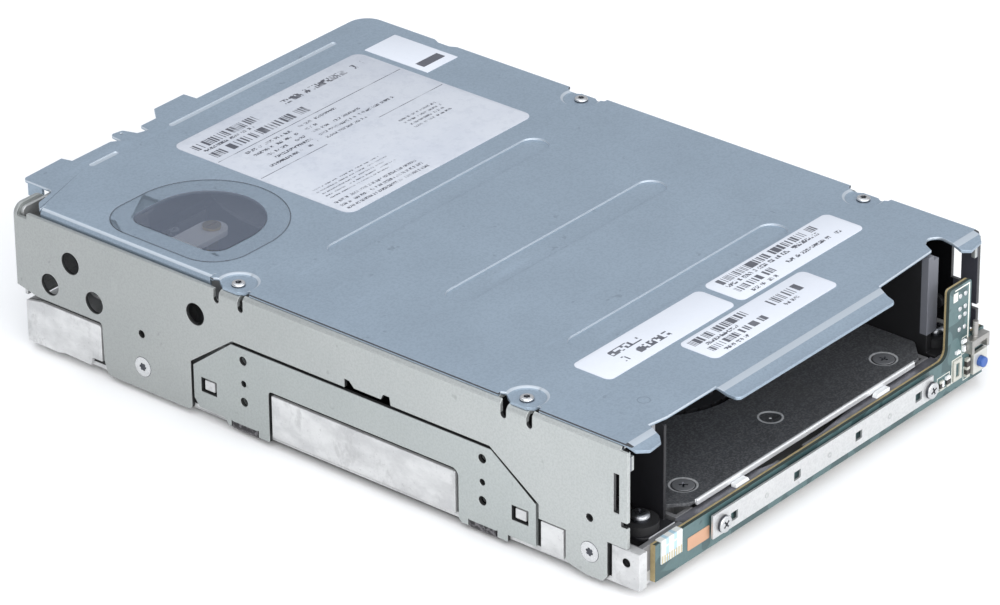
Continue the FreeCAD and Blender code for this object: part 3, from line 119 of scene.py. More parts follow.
class Finish:
    def __init__(self, name, metallic=0.0, roughness=0.5):
        self.material = bpy.data.materials.new(name)
        self.material.use_nodes = True
        self.tree = self.material.node_tree
        self.shader = self.tree.nodes["Principled BSDF"]
        self.shader.inputs["Metallic"].default_value = metallic
        self.shader.inputs["Roughness"].default_value = roughness
        self.place = self.node("ShaderNodeTexCoord", {}, {}, "Object")

    def node(self, kind, settings, inputs, output=0):
        made = self.tree.nodes.new(kind)
        for name, value in settings.items():
            setattr(made, name, value)
        for key, value in inputs.items():
            self.feed(made.inputs[key], value)
        return Wire(self, made.outputs[output])

    def feed(self, socket, value):
        if isinstance(value, Wire):
            self.tree.links.new(value.socket, socket)
        elif isinstance(value, tuple) and len(value) == 3 and len(socket.default_value) == 4:
            socket.default_value = (*value, 1)
        else:
            socket.default_value = value

    def set(self, **values):                # sockets of the shader, with spaces left out of the names
        for name, value in values.items():
            matching = [s for s in self.shader.inputs if s.name.replace(" ", "").lower() == name.lower()]
            self.feed(matching[0], value)

    def axis(self, letter):
        return self.node("ShaderNodeSeparateXYZ", {}, {0: self.place}, letter)

    def stretched(self, x, y, z):
        return self.node("ShaderNodeMapping", {}, {"Vector": self.place, "Scale": (x, y, z)})

    def noise(self, scale, detail=3.0, roughness=0.55, place=None):
        return self.node("ShaderNodeTexNoise", {}, {"Vector": place or self.place, "Scale": scale,
                                                    "Detail": detail, "Roughness": roughness}, 0)

    def band(self, value, low, high):       # 0 below low, 1 above high, smooth between
        return self.node("ShaderNodeMapRange", {"interpolation_type": "SMOOTHSTEP"},
                         {"Value": value, "From Min": low, "From Max": high}, 0)

    def chance(self, x, y=0.0, z=0.0):      # a random number for each whole value
        spot = self.node("ShaderNodeCombineXYZ", {}, {0: x, 1: y, 2: z})
        return self.node("ShaderNodeTexWhiteNoise", {"noise_dimensions": "3D"}, {"Vector": spot}, "Value")

    def far(self, x, y, spot):              # distance from a point of the plan
        across, along = x - spot[0], y - spot[1]
        return (across * across + along * along).root()

    def blend(self, factor, first, second):
        return self.node("ShaderNodeMix", {"data_type": "RGBA"}, {0: factor, 6: first, 7: second}, 2)

    def bump(self, height, strength, distance):
        self.set(Normal=self.node("ShaderNodeBump", {}, {"Height": height, "Strength": strength,
                                                         "Distance": distance}, 0))


# ring: width of the painted shade around the edge of a side screw's head
screwPlan = {                               # millimetres; lobes 6 is a star recess, 4 a cross
    "cover_screws": {
        "reach": 2.2, "radius": 1.85, "height": 0.95, "crown": 0.55, "recess": 0.85, "deep": 0.45, "lobes": 6,
        "shank": 1.45, "length": 3.2, "up": (0, 0, 1), "finish": "bright", "ring": 0.0},
    "side_screws": {
        "reach": 2.85, "radius": 2.85, "height": 0.3, "crown": 0.12, "recess": 1.15, "deep": 0.22, "lobes": 6,
        "shank": 1.45, "length": 4.0, "up": (1, 0, 0), "finish": "bright", "ring": 0.35},
    "floor_plate_screws": {
        "reach": 2.9, "radius": 2.9, "height": 0.50, "crown": 0.20, "recess": 1.2, "deep": 0.35, "lobes": 4,
        "shank": 1.2, "length": 5.4, "up": (0, 0, 1), "finish": "dullSteel", "ring": 0.0},
    "isolator_screws": {
        "reach": 2.6, "radius": 2.6, "height": 1.9, "crown": 1.1, "recess": 1.2, "deep": 0.8, "lobes": 4,
        "shank": 1.45, "length": 7.9, "up": (0, 0, 1), "finish": "darkSteel", "ring": 0.0},
    "stiffener_screws": {
        "reach": 2.4, "radius": 2.3, "height": 0.9, "crown": 0.35, "recess": 1.2, "deep": 0.35, "lobes": 4,
        "shank": 1.25, "length": 3.2, "up": (0, -1, 0), "finish": "bright", "ring": 0.0}}
screwShape = {"sides": 48, "crownSteps": 5, "wedge": 15.5, "starPull": 0.80, "crossPull": 0.42, "taper": 0.82}


def shade(colour, amount):
    return tuple(min(1.0, value * amount) for value in colour)


sheetPlan = {                               # metres; how far the folded edges and punch rings reach
    "foldAt": 0.0712, "slope": (0.54, 0.59, 0.64), "fold": (0.060, 0.062, 0.068),
    "ringEdge": (0.00005, 0.00025)}


def zincSheet(name, pale, deep, roughness, metallic=0.6, rings=(), steps=None):
    finish = Finish(name, metallic, roughness)
    x, y, z = finish.axis("X"), finish.axis("Y"), finish.axis("Z")
    clouds = finish.noise(45.0, 5.0)
    grain = finish.noise(1700.0, 2.0)
    rub = finish.band(finish.noise(3.0, 5.0, 0.7, finish.stretched(9.0, 60.0, 30.0)), 0.60, 0.72)
    spots = finish.band(finish.noise(230.0, 2.0), 0.71, 0.76)
    scratch = finish.band(finish.noise(5.0, 3.0, 0.6, finish.stretched(8.0, 150.0, 90.0)), 0.66, 0.70)
    colour = finish.blend(clouds, deep, pale)
    colour = finish.blend(finish.band(grain, 0.38, 0.66) * 0.22, colour, shade(deep, 0.62))
    colour = finish.blend(rub * 0.16, colour, shade(pale, 1.25))
    colour = finish.blend(spots * 0.30, colour, shade(deep, 0.45))
    colour = finish.blend(scratch * 0.10, colour, shade(pale, 1.3))
    height = grain * 0.3
    for spot, radius in rings:              # rings left by a forming punch
        ring = 1 - finish.band(finish.far(x, y, spot).away(radius), *sheetPlan["ringEdge"])
        colour = finish.blend(ring * 0.45, colour, shade(deep, 0.5))
        height = height - ring * 1.5
    if steps:                               # painted highlight on the pressed slopes between two heights; the same band on the folded side edges is made nearly black
        foldAt = sheetPlan["foldAt"]
        colour = finish.blend(z.inside(*steps) * (x.away(0.0) < foldAt) * 0.8, colour, sheetPlan["slope"])
        colour = finish.blend(z.inside(*steps) * (x.away(0.0) > foldAt), colour, sheetPlan["fold"])
    finish.colour = colour
    finish.set(BaseColor=colour, Roughness=roughness - 0.06 + clouds * 0.10 + rub * 0.06)
    finish.bump(height, 0.12, 0.0001)
    return finish


wallPlan = {                                # metres from the wall's outer face, front edge and foot
    "thick": 0.0012, "skin": 0.00004, "burr": 0.0002, "frontFace": 0.0003, "cutTop": 0.0370, "inward": 0.0004,
    "mouth": 0.0300, "lip": 0.0075, "tabHalf": 0.0044, "tabTop": 0.0030, "rearFade": 0.24,
    "cutEdge": (0.035, 0.034, 0.036), "lipShade": (0.012, 0.012, 0.014), "mouthShade": (0.105, 0.108, 0.135)}


def wallSheet(name, pale, deep, node, tabs=()):
    finish = zincSheet(name, pale, deep, 0.42, 0.6)
    low, high = corners(node)
    y, z = finish.axis("Y"), finish.axis("Z")
    outer = max(abs(low.x), abs(high.x))
    across = finish.axis("X").away(0.0)
    inner = outer - wallPlan["thick"]
    face = low.y + wallPlan["frontFace"] if low.x < 0 else low.y - 1
    edge = across.inside(inner + wallPlan["skin"], outer - wallPlan["burr"])
    # painted shade on the cut thickness faces of the sheet
    cut = edge * (y > face) * (z < wallPlan["cutTop"])
    # painted shade: the wall grows darker towards the rear
    colour = finish.blend(finish.band(y, -0.10, 0.10) * wallPlan["rearFade"], finish.colour, (0, 0, 0))
    colour = finish.blend(cut * 0.9, colour, wallPlan["cutEdge"])
    # painted shade on the inner face near the mouth of the bay
    innerShade = across.inside(inner - wallPlan["inward"], inner + wallPlan["skin"]) \
        * (y < low.y + wallPlan["mouth"])
    inside = finish.blend(y < low.y + wallPlan["lip"], wallPlan["lipShade"], wallPlan["mouthShade"])
    colour = finish.blend(innerShade, colour, inside)
    rough = finish.band(finish.noise(700.0, 3.0), 0.45, 0.62)
    for middleY in tabs:                    # the bend below each mounting place lies in shadow
        tab = (y.away(middleY) < wallPlan["tabHalf"]) * (z < wallPlan["tabTop"])
        colour = finish.blend(tab, colour, finish.blend(rough, (0.030, 0.029, 0.032), (0.16, 0.155, 0.165)))
    finish.set(BaseColor=colour)
    return finish


castPlan = {                                # metres; the dark front beam, the pads' shadow and the lug's bore
    "beam": (0.0050, 0.0135), "beamDepth": 0.026, "beamHalf": 0.0695, "line": (0.00135, 0.00105),
    "lineFoot": 0.0029, "lineFront": 0.0095,
    "bore": (0.0042, 0.0091), "boreRadius": 0.00125, "boreSkin": 0.0002}


def castSkin(name, pale, deep):
    finish = Finish(name, 0.45, 0.5)
    skin = finish.noise(420.0, 5.0)
    flow = finish.band(finish.noise(70.0, 6.0, 0.65, finish.stretched(1.0, 1.0, 1.8)), 0.34, 0.66)
    stain = finish.band(finish.noise(55.0, 6.0, 0.75, finish.stretched(1.0, 1.6, 1.0)), 0.52, 0.64)
    pits = finish.band(finish.noise(900.0, 2.0), 0.66, 0.72)
    colour = finish.blend(flow, deep, pale)
    colour = finish.blend(stain * 0.45, colour, shade(deep, 0.72))
    colour = finish.blend(pits * 0.25, colour, shade(deep, 0.5))
    x, y, z = finish.axis("X"), finish.axis("Y"), finish.axis("Z")
    low, high = corners("base_casting")
    half = x.away(0.0)
    beam = z.inside(*castPlan["beam"]) * (y < low.y + castPlan["beamDepth"]) * (half < castPlan["beamHalf"])
    # the front beam is made darker than the rest of the casting
    beamTone = finish.blend(skin, (0.155, 0.155, 0.162), (0.225, 0.225, 0.235))
    colour = finish.blend(beam * 0.9, colour, beamTone)
    shadow = half.inside(*(high.x - value for value in castPlan["line"])) \
        * (z > castPlan["lineFoot"]) * (y > low.y + castPlan["lineFront"])
    # painted shade: the lug's bore is drawn as a dark disc
    boreSpot = (low.y + castPlan["bore"][0], castPlan["bore"][1])
    bore = (finish.far(y, z, boreSpot) < castPlan["boreRadius"]) * (x > low.x + castPlan["boreSkin"])
    colour = finish.blend(shadow.either(bore), colour, (0.012, 0.012, 0.013))
    finish.set(BaseColor=colour, Roughness=0.42 + skin * 0.18)
    finish.bump(skin, 0.28, 0.0002)
    return finish


def brightSteel(name, colour, roughness=0.25):
    finish = Finish(name, 1.0, roughness)
    wear = finish.noise(700.0, 3.0)
    worn = finish.blend(wear, colour, shade(colour, 0.8))
    finish.set(BaseColor=worn, Roughness=roughness - 0.05 + wear * 0.14)
    return finish


def moulding(name, colour, roughness=0.45, grain=1100.0, depth=0.12):
    finish = Finish(name, 0.0, roughness)
    skin = finish.noise(grain, 2.0)
    dust = finish.noise(60.0, 4.0)
    finish.colour = finish.blend(dust, colour, tuple(value * 1.25 + 0.008 for value in colour))
    finish.set(BaseColor=finish.colour, Roughness=roughness - 0.04 + dust * 0.12)
    finish.bump(skin, depth, 0.0001)
    return finish


def springLeaf(name):                       # blued leaves with bright cut edges
    finish = Finish(name, 0.6, 0.36)
    low, high = corners("cartridge_springs")
    wear = finish.band(finish.noise(180.0, 4.0), 0.40, 0.66)
    edge = finish.axis("Z").inside(low.z + 0.00012, high.z - 0.00010)
    colour = finish.blend(wear, (0.16, 0.16, 0.18), (0.26, 0.26, 0.29))
    finish.set(BaseColor=finish.blend(edge, colour, (0.50, 0.51, 0.54)), Roughness=0.32 + wear * 0.10)
    return finish


def boardParts(name):                       # tinned ends with a dark middle
    finish = Finish(name, 0.2, 0.4)
    low, high = corners("front_board_parts")
    x, z = finish.axis("X"), finish.axis("Z")
    grain = finish.noise(1200.0, 2.0)
    tin = finish.blend(grain, (0.42, 0.42, 0.38), (0.60, 0.60, 0.54))
    left = (x < low.x + 0.0050) * z.inside(low.z + 0.0013, low.z + 0.0027)
    bands = z.inside(low.z + 0.0008, low.z + 0.0022).either(z.inside(low.z + 0.0030, low.z + 0.0046))
    dark = left.either((x > high.x - 0.0018) * bands)
    finish.set(BaseColor=finish.blend(dark, tin, (0.045, 0.040, 0.036)), Roughness=0.34 + grain * 0.12)
    return finish


floorPlan = {                               # metres; the dimple is set from the screws, the lip from the edge
    "ring": 0.0035, "ringEdge": (0.00016, 0.00042), "dimple": (-0.0011, 0.0068), "dimpleRing": 0.0031,
    "pin": 0.00040, "lip": (0.0004, 0.0008), "lipHalf": 0.0456}


def floorCoat(name):                        # black coat, rubbed bare along the front lip
    finish = moulding(name, (0.040, 0.042, 0.046), 0.46, 1500.0, 0.3)
    low, high = corners("bay_floor_plate")
    x, y, z = finish.axis("X"), finish.axis("Y"), finish.axis("Z")
    grain = finish.band(finish.noise(1900.0, 2.0), 0.40, 0.68)
    hand = finish.band(finish.noise(22.0, 3.0), 0.42, 0.75)
    colour = finish.blend(grain * 0.60, finish.colour, (0.150, 0.154, 0.162))
    colour = finish.blend(hand * 0.30, colour, (0.075, 0.073, 0.070))
    screwLow, screwHigh = corners("floor_plate_screws")
    reach = screwPlan["floor_plate_screws"]["radius"] * mm
    centre = (screwLow + screwHigh) / 2
    ringed = [((side, along), floorPlan["ring"]) for side in (screwLow.x + reach, screwHigh.x - reach)
              for along in (screwLow.y + reach, screwHigh.y - reach)]
    aside, behind = floorPlan["dimple"]
    ringed.append(((centre.x + aside, screwLow.y + behind), floorPlan["dimpleRing"]))
    height = grain * 0.5
    for spot, radius in ringed:             # pressed rings with a painted highlight, and painted shade inside them
        reachOf = finish.far(x, y, spot)
        ring = 1 - finish.band(reachOf.away(radius), *floorPlan["ringEdge"])
        colour = finish.blend(ring * 0.85, colour, (0.46, 0.47, 0.48))
        inner = 1 - finish.band(reachOf, radius - 0.0004, radius)
        colour = finish.blend(inner * 0.45, colour, (0.015, 0.015, 0.016))
        height = height + ring * 2.0
    pin = finish.far(x, y, ringed[-1][0]) < floorPlan["pin"]
    lipFront, lipRear = (low.y + value for value in floorPlan["lip"])
    lip = (1 - finish.band(y, lipFront, lipRear)) * x.inside(-floorPlan["lipHalf"], floorPlan["lipHalf"])
    bare = lip.either(pin)
    finish.set(BaseColor=finish.blend(bare, colour, (0.82, 0.83, 0.84)), Metallic=lip * 0.6,
               Roughness=0.50 - lip * 0.2 - hand * 0.08)
    finish.bump(height, 0.3, 0.0001)
    return finish


guidePlan = {"ribDepth": 0.0052, "ribFoot": 0.0172, "rib": (0.135, 0.140, 0.160)}


def ribbedGuide(name):                      # black moulding with a grey front rib
    finish = moulding(name, (0.005, 0.005, 0.006), 0.5)
    front = corners("right_guide")[0].y
    rib = (finish.axis("Y") < front + guidePlan["ribDepth"]) * (finish.axis("Z") > guidePlan["ribFoot"])
    finish.set(BaseColor=finish.blend(rib, finish.colour, guidePlan["rib"]))
    return finish


def edgedSheet(name, node):                 # black coat rubbed bare on the front edge
    finish = moulding(name, (0.005, 0.005, 0.007), 0.5, 1600.0, 0.10)
    front = corners(node)[0].y
    edge = 1 - finish.band(finish.axis("Y"), front + 0.00015, front + 0.0003)
    finish.set(BaseColor=finish.blend(edge, finish.colour, (0.42, 0.43, 0.45)))
    return finish


maskPlan = {"skin": 0.00004, "coreFrom": 0.60, "endCut": 0.0001}


def boardMask(name, node, thickAxis, marks=()):
    finish = Finish(name, 0.0, 0.32)
    low, high = corners(node)
    across = finish.axis(thickAxis)
    index = "XYZ".index(thickAxis)
    depth = high[index] - low[index]
    weave = finish.noise(900.0, 1.0)
    tracks = finish.band(finish.noise(210.0, 0.0), 0.47, 0.50) \
        * finish.band(finish.noise(150.0, 0.0), 0.44, 0.47)
    green = finish.blend(tracks, (0.085, 0.150, 0.155), (0.045, 0.088, 0.092))
    green = finish.blend(weave * 0.3, green, (0.030, 0.055, 0.060))
    inner = high[index] - maskPlan["skin"]
    side = across.inside(low[index] + maskPlan["skin"], inner)
    core = across.inside(low[index] + depth * maskPlan["coreFrom"], inner)
    core = core.either(finish.axis("X") < low.x + maskPlan["endCut"])
    fibre = finish.blend(weave, (0.26, 0.20, 0.10), (0.42, 0.34, 0.18))
    colour = finish.blend(side, green, finish.blend(core, (0.035, 0.050, 0.045), fibre))
    plain = [finish.axis(letter) for letter in "XYZ" if letter != thickAxis]
    for first, second, hollow in marks:     # printed boxes: outer ranges, and how thick their line is
        box = plain[0].inside(*first) * plain[1].inside(*second)
        if hollow:
            box = box - (plain[0].inside(first[0] + hollow, first[1] - hollow)
                         * plain[1].inside(second[0] + hollow, second[1] - hollow))
        colour = finish.blend(box * (1 - side), colour, (0.72, 0.72, 0.66))
    finish.set(BaseColor=colour, Roughness=0.30 + weave * 0.1 + side * 0.3)
    finish.bump(tracks, 0.15, 0.0001)
    return finish


cablePlan = {"tracks": ((0.22, 0.36), (0.60, 0.74)), "tick": 0.0005, "fingers": 9, "gilt": 0.0022}


def flatCable(name):                        # white strip with pale blue tracks and gilt ends
    finish = moulding(name, (0.60, 0.62, 0.61), 0.3)
    low, high = corners("flex_tail")
    x, z = finish.axis("X"), finish.axis("Z")
    width = high.x - low.x
    left, right = (x.inside(*(low.x + width * share for share in shares)) for shares in cablePlan["tracks"])
    tracks = left.either(right)
    ticks = finish.chance(z.step(cablePlan["tick"])) > 0.35
    pitch = width / cablePlan["fingers"]
    teeth = ((x - low.x) % pitch).inside(pitch * 0.25, pitch * 0.80)
    ends = (z < low.z + cablePlan["gilt"]) * teeth
    colour = finish.blend(tracks * ticks * 0.75, finish.colour, (0.30, 0.50, 0.62))
    finish.set(BaseColor=finish.blend(ends, colour, (0.55, 0.47, 0.28)), Metallic=ends * 0.8)
    return finish


filmPlan = {"margin": 0.0062, "corner": 0.0112, "rim": 0.0003, "clear": 0.05, "smoke": 0.40, "rimShade": 0.35}


def clearFilm(name):                        # nearly unseen on the metal, smoky over the opening
    finish = Finish(name, 0.0, 0.25)
    low, high = corners("window_film")
    x, y, z = finish.axis("X"), finish.axis("Y"), finish.axis("Z")
    haze = finish.noise(50.0, 4.0)
    corner = filmPlan["corner"]
    reach = (high.y - low.y) / 2
    centre = (high.x - reach, (low.y + high.y) / 2)

    def shape(shrink):                      # the film's outline, drawn in by some metres
        inX = ((low.x + corner) - x).above(0.0)
        inY = (y.away(centre[1]) - (reach - corner)).above(0.0)
        left = (x < centre[0]) * ((inX * inX + inY * inY).root() < corner - shrink)
        right = (x > centre[0] - 0.00001) * (finish.far(x, y, centre) < reach - shrink)
        return left.either(right)

    opening = shape(filmPlan["margin"])
    # painted shade: a dark rim along the film's outline and on its edge faces
    rim = (1 - shape(filmPlan["rim"])).either(z.inside(low.z + 0.00001, high.z - 0.00001))
    colour = finish.blend(haze, (0.11, 0.135, 0.185), (0.145, 0.17, 0.225))
    finish.set(BaseColor=finish.blend(rim, colour, (0.10, 0.11, 0.13)), Roughness=0.28 + haze * 0.08,
               Alpha=filmPlan["clear"] + opening * filmPlan["smoke"] + rim * filmPlan["rimShade"])
    return finish


def switchShell(name):                      # black body with a pale metal frame on its face
    finish = moulding(name, (0.020, 0.021, 0.022), 0.4)
    face = corners("eject_switch_body")[0].y
    plate = 1 - finish.band(finish.axis("Y"), face + 0.0009, face + 0.0010)
    finish.set(BaseColor=finish.blend(plate, finish.colour, (0.60, 0.60, 0.56)), Metallic=plate * 0.6)
    return finish


tabWidth = 0.0062                           # what stands right of the board's upright tab
tabEdge = corners("front_board")[1].x - tabWidth
tabTop = corners("front_board")[1].z
mountSpots = [corners("left_mount_plate")[0].y + 0.0170, corners("left_mount_plate")[1].y - 0.01745]
markPlan = [                                # printed boxes in millimetres from the tab's top right corner
    (-1.1, -0.6, -21.5, -0.7, 0), (-7.2, -0.6, -1.1, -0.7, 0), (-7.8, -5.8, -4.2, -1.6, 0),
    (-3.4, -1.0, -21.0, -16.0, 0.2), (-7.6, -3.3, -27.8, -21.0, 0.3), (-14.0, -8.4, -27.8, -23.6, 0.2),
    (-2.4, 0.6, -29.0, -25.0, 0.2)]
boardMarks = [
    ((tabEdge + left * mm, tabEdge + right * mm), (tabTop + bottom * mm, tabTop + top * mm), line * mm)
    for left, right, bottom, top, line in markPlan]
filmFoot = corners("window_film")[0].z      # the cover's top face, which the film and the labels lie on
stepHeights = (filmFoot - 0.00050, filmFoot - 0.00005)

wallTones = ((0.510, 0.530, 0.520), (0.410, 0.435, 0.430))
finishes = {
    # the cover's tone, darker and bluer than the walls', is partly its own blue zinc and partly painted shade
    # and sky reflection
    "zincTop": zincSheet("zinc_top", (0.330, 0.406, 0.486), (0.275, 0.343, 0.414), 0.44, 0.6,
                         [((-0.0525, corners("top_cover")[0].y + 0.0165), 0.0016)], stepHeights),
    "zincSide": zincSheet("zinc_side", (0.56, 0.57, 0.57), (0.48, 0.49, 0.49), 0.42),
    "zincLeft": wallSheet("zinc_left_wall", *wallTones, "left_side_wall"),
    "zincRight": wallSheet("zinc_right_wall", *wallTones, "right_side_wall"),
    "zincPlate": wallSheet("zinc_plate", (0.490, 0.520, 0.510), (0.400, 0.430, 0.425), "left_mount_plate",
                           mountSpots),
    "cast": castSkin("cast_alloy", (0.66, 0.665, 0.665), (0.50, 0.505, 0.51)),
    # painted shade for the screw recesses, the feet of the heads and the side screws' rings
    "recess": brightSteel("dark_recess", (0.100, 0.105, 0.120), 0.4),
    "paleArm": moulding("pale_arm", (0.80, 0.81, 0.83), 0.5),
    "leftGuide": edgedSheet("left_guide_coat", "left_guide"),
    "bright": brightSteel("bright_steel", (0.70, 0.71, 0.72)),
    "darkSteel": brightSteel("dark_steel", (0.42, 0.43, 0.45), 0.3),
    "dullSteel": moulding("dull_steel", (0.115, 0.118, 0.125), 0.30),
    "spring": springLeaf("spring_steel"),
    "floorCoat": floorCoat("floor_coat"),
    "blackCoat": moulding("black_coat", (0.016, 0.017, 0.021), 0.40, 1600.0, 0.10),
    "ribbedGuide": ribbedGuide("ribbed_guide"),
    "blackPlastic": moulding("black_plastic", (0.016, 0.016, 0.018), 0.42),
    "whitePlastic": moulding("white_plastic", (0.74, 0.75, 0.76), 0.4),
    "greyPlastic": moulding("grey_plastic", (0.30, 0.31, 0.33), 0.4),
    "rubber": moulding("rubber", (0.006, 0.006, 0.007), 0.6),
    "film": clearFilm("clear_film"),
    "board": boardMask("main_solder_mask", "main_board", "Z"),
    "frontBoard": boardMask("front_solder_mask", "front_board", "Y", boardMarks),
    "chip": moulding("chip_epoxy", (0.030, 0.030, 0.032), 0.55),
    "ribbon": flatCable("flat_cable"),
    "switchShell": switchShell("switch_shell"),
    "blue": moulding("blue_plastic", (0.028, 0.085, 0.30), 0.3),
    "boardParts": boardParts("board_parts"),
    "dullTin": brightSteel("dull_tin", (0.46, 0.45, 0.43), 0.4),
    "brass": brightSteel("turned_brass", (0.72, 0.55, 0.25), 0.28),
    "ceramic": moulding("ground_ceramic", (0.11, 0.11, 0.115), 0.25),
    "orange": moulding("orange_paper", (0.46, 0.265, 0.170), 0.6),
    "strip": zincSheet("zinc_strip", (0.66, 0.665, 0.665), (0.59, 0.595, 0.60), 0.42),
}
print("finishes made:", len(finishes))

finishOfSlot = {
    "zinc_steel": "zincSide", "cast_alloy": "cast", "bright_steel": "bright", "spring_steel": "spring",
    "black_sheet": "blackCoat", "black_plastic": "blackPlastic", "white_plastic": "whitePlastic",
    "grey_plastic": "greyPlastic", "rubber": "rubber", "film": "film", "circuit_board": "board",
    "chip": "chip", "ribbon": "ribbon", "blue_plastic": "blue", "brass": "brass", "ceramic": "ceramic"}
finishOfNode = {
    "top_cover": "zincTop", "bay_floor_plate": "floorCoat",
    "right_guide": "ribbedGuide", "left_guide": "leftGuide",
    "left_side_wall": "zincLeft", "right_side_wall": "zincRight", "left_mount_plate": "zincPlate",
    "right_mount_plate": "zincPlate", "front_board_parts": "boardParts", "sensor_can": "dullTin",
    "head_bridge": "paleArm", "board_stiffener": "strip",
    "front_board": "frontBoard", "eject_switch_body": "switchShell", "isolator_screws": "darkSteel"}


def dress(piece, finish):
    slots = piece.data.materials
    if slots:
        slots[0] = finish.material
    else:
        slots.append(finish.material)


def finishFor(node):
    return finishes[finishOfNode.get(node) or finishOfSlot[slotOfNode[node]]]


for name, node in nodes.items():
    node.data.materials.clear()
    dress(node, finishFor(name))
print("nodes dressed")


def beginEdit(piece):
    bpy.ops.object.select_all(action="DESELECT")
    piece.select_set(True)
    bpy.context.view_layer.objects.active = piece
    bpy.ops.object.mode_set(mode="EDIT")
    bpy.ops.mesh.select_all(action="DESELECT")


def endEdit():
    bpy.ops.object.mode_set(mode="OBJECT")


def pickFaces(piece, wanted):
    bpy.ops.mesh.select_all(action="DESELECT")
    bpy.ops.mesh.select_mode(type="FACE")
    mesh = bmesh.from_edit_mesh(piece.data)
    for face in mesh.faces:
        face.select_set(wanted(face.calc_center_median(), face.normal))
    bmesh.update_edit_mesh(piece.data)


def pickEdges(piece, wanted):
    bpy.ops.mesh.select_all(action="DESELECT")
    bpy.ops.mesh.select_mode(type="EDGE")
    mesh = bmesh.from_edit_mesh(piece.data)
    for edge in mesh.edges:
        edge.select_set(wanted(edge.verts[0].co, edge.verts[1].co))
    bmesh.update_edit_mesh(piece.data)


def pickCorners(piece, wanted):
    bpy.ops.mesh.select_all(action="DESELECT")
    bpy.ops.mesh.select_mode(type="VERT")
    mesh = bmesh.from_edit_mesh(piece.data)
    for corner in mesh.verts:
        corner.select_set(wanted(corner.co))
    bmesh.update_edit_mesh(piece.data)


def finished(piece, name, finish, body="chassis", replaced=(), angle=35):
    bpy.ops.object.select_all(action="DESELECT")
    piece.select_set(True)
    bpy.context.view_layer.objects.active = piece
    bpy.ops.object.transform_apply(location=True, rotation=True, scale=True)
    bpy.ops.object.shade_smooth_by_angle(angle=math.radians(angle))
    piece.name = name
    dress(piece, finish)
    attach(piece, body)
    if replaced:
        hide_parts(*replaced)
    return piece


def freshBox(centre, size):
    bpy.ops.object.select_all(action="DESELECT")
    bpy.ops.mesh.primitive_cube_add(size=1, location=centre, scale=size)
    bpy.ops.object.transform_apply(location=True, rotation=True, scale=True)
    return bpy.context.object


def freshRod(sides, radius, depth, centre=(0, 0, 0), turn=(0, 0, 0)):
    bpy.ops.object.select_all(action="DESELECT")
    bpy.ops.mesh.primitive_cylinder_add(vertices=sides, radius=radius, depth=depth,
                                        location=centre, rotation=turn)
    bpy.ops.object.transform_apply(location=True, rotation=True, scale=True)
    return bpy.context.object


def copyAt(model, matrix):
    piece = model.copy()
    piece.data = model.data.copy()
    piece.data.transform(matrix)
    bpy.context.collection.objects.link(piece)
    return piece


def joined(pieces):
    bpy.ops.object.select_all(action="DESELECT")
    for piece in pieces:
        piece.select_set(True)
    bpy.context.view_layer.objects.active = pieces[0]
    bpy.ops.object.join()
    return pieces[0]


edgePlan = {                                # width of each node's softened edges in millimetres
    "top_cover": 0.16, "left_side_wall": 0.14, "right_side_wall": 0.14, "left_mount_plate": 0.14,
    "right_mount_plate": 0.14, "rear_panel": 0.12, "base_casting": 0.20, "bay_floor_plate": 0.12,
    "left_guide": 0.12, "right_guide": 0.18, "board_stiffener": 0.10, "cartridge_springs": 0.08,
    "centering_tabs": 0.15, "eject_button": 0.30, "eject_switch_body": 0.12, "sensor_can": 0.12,
    "guide_clip": 0.10, "power_connector": 0.15, "data_connector": 0.12, "front_board_parts": 0.06}


edgeShape = {"merge": 0.000002, "flat": 0.02, "segments": 2, "sharp": 40, "evenness": 100}


def breakEdges(node, width):
    piece = nodes[node].copy()
    piece.data = nodes[node].data.copy()
    bpy.context.collection.objects.link(piece)
    beginEdit(piece)
    bpy.ops.mesh.select_all(action="SELECT")
    bpy.ops.mesh.remove_doubles(threshold=edgeShape["merge"])
    bpy.ops.mesh.dissolve_limited(angle_limit=edgeShape["flat"])
    endEdit()
    bevel = piece.modifiers.new("broken edges", "BEVEL")
    bevel.width = width * mm
    bevel.segments = edgeShape["segments"]
    bevel.limit_method = "ANGLE"
    bevel.angle_limit = math.radians(edgeShape["sharp"])
    bevel.use_clamp_overlap = False
    bpy.ops.object.modifier_apply(modifier=bevel.name)
    low, high = corners(node)
    for corner in piece.data.vertices:      # a bevel at a sharp corner can throw a point past the edge
        corner.co = [min(max(value, low[axis]), high[axis]) for axis, value in enumerate(corner.co)]
    finished(piece, node + "_body", finishFor(node), bodyOfNode[node], [node])
    flat = piece.modifiers.new("flat faces", "WEIGHTED_NORMAL")
    flat.keep_sharp = True
    flat.weight = edgeShape["evenness"]
    bpy.ops.object.modifier_apply(modifier=flat.name)


for node, width in edgePlan.items():
    breakEdges(node, width)
print("edges broken:", len(edgePlan))


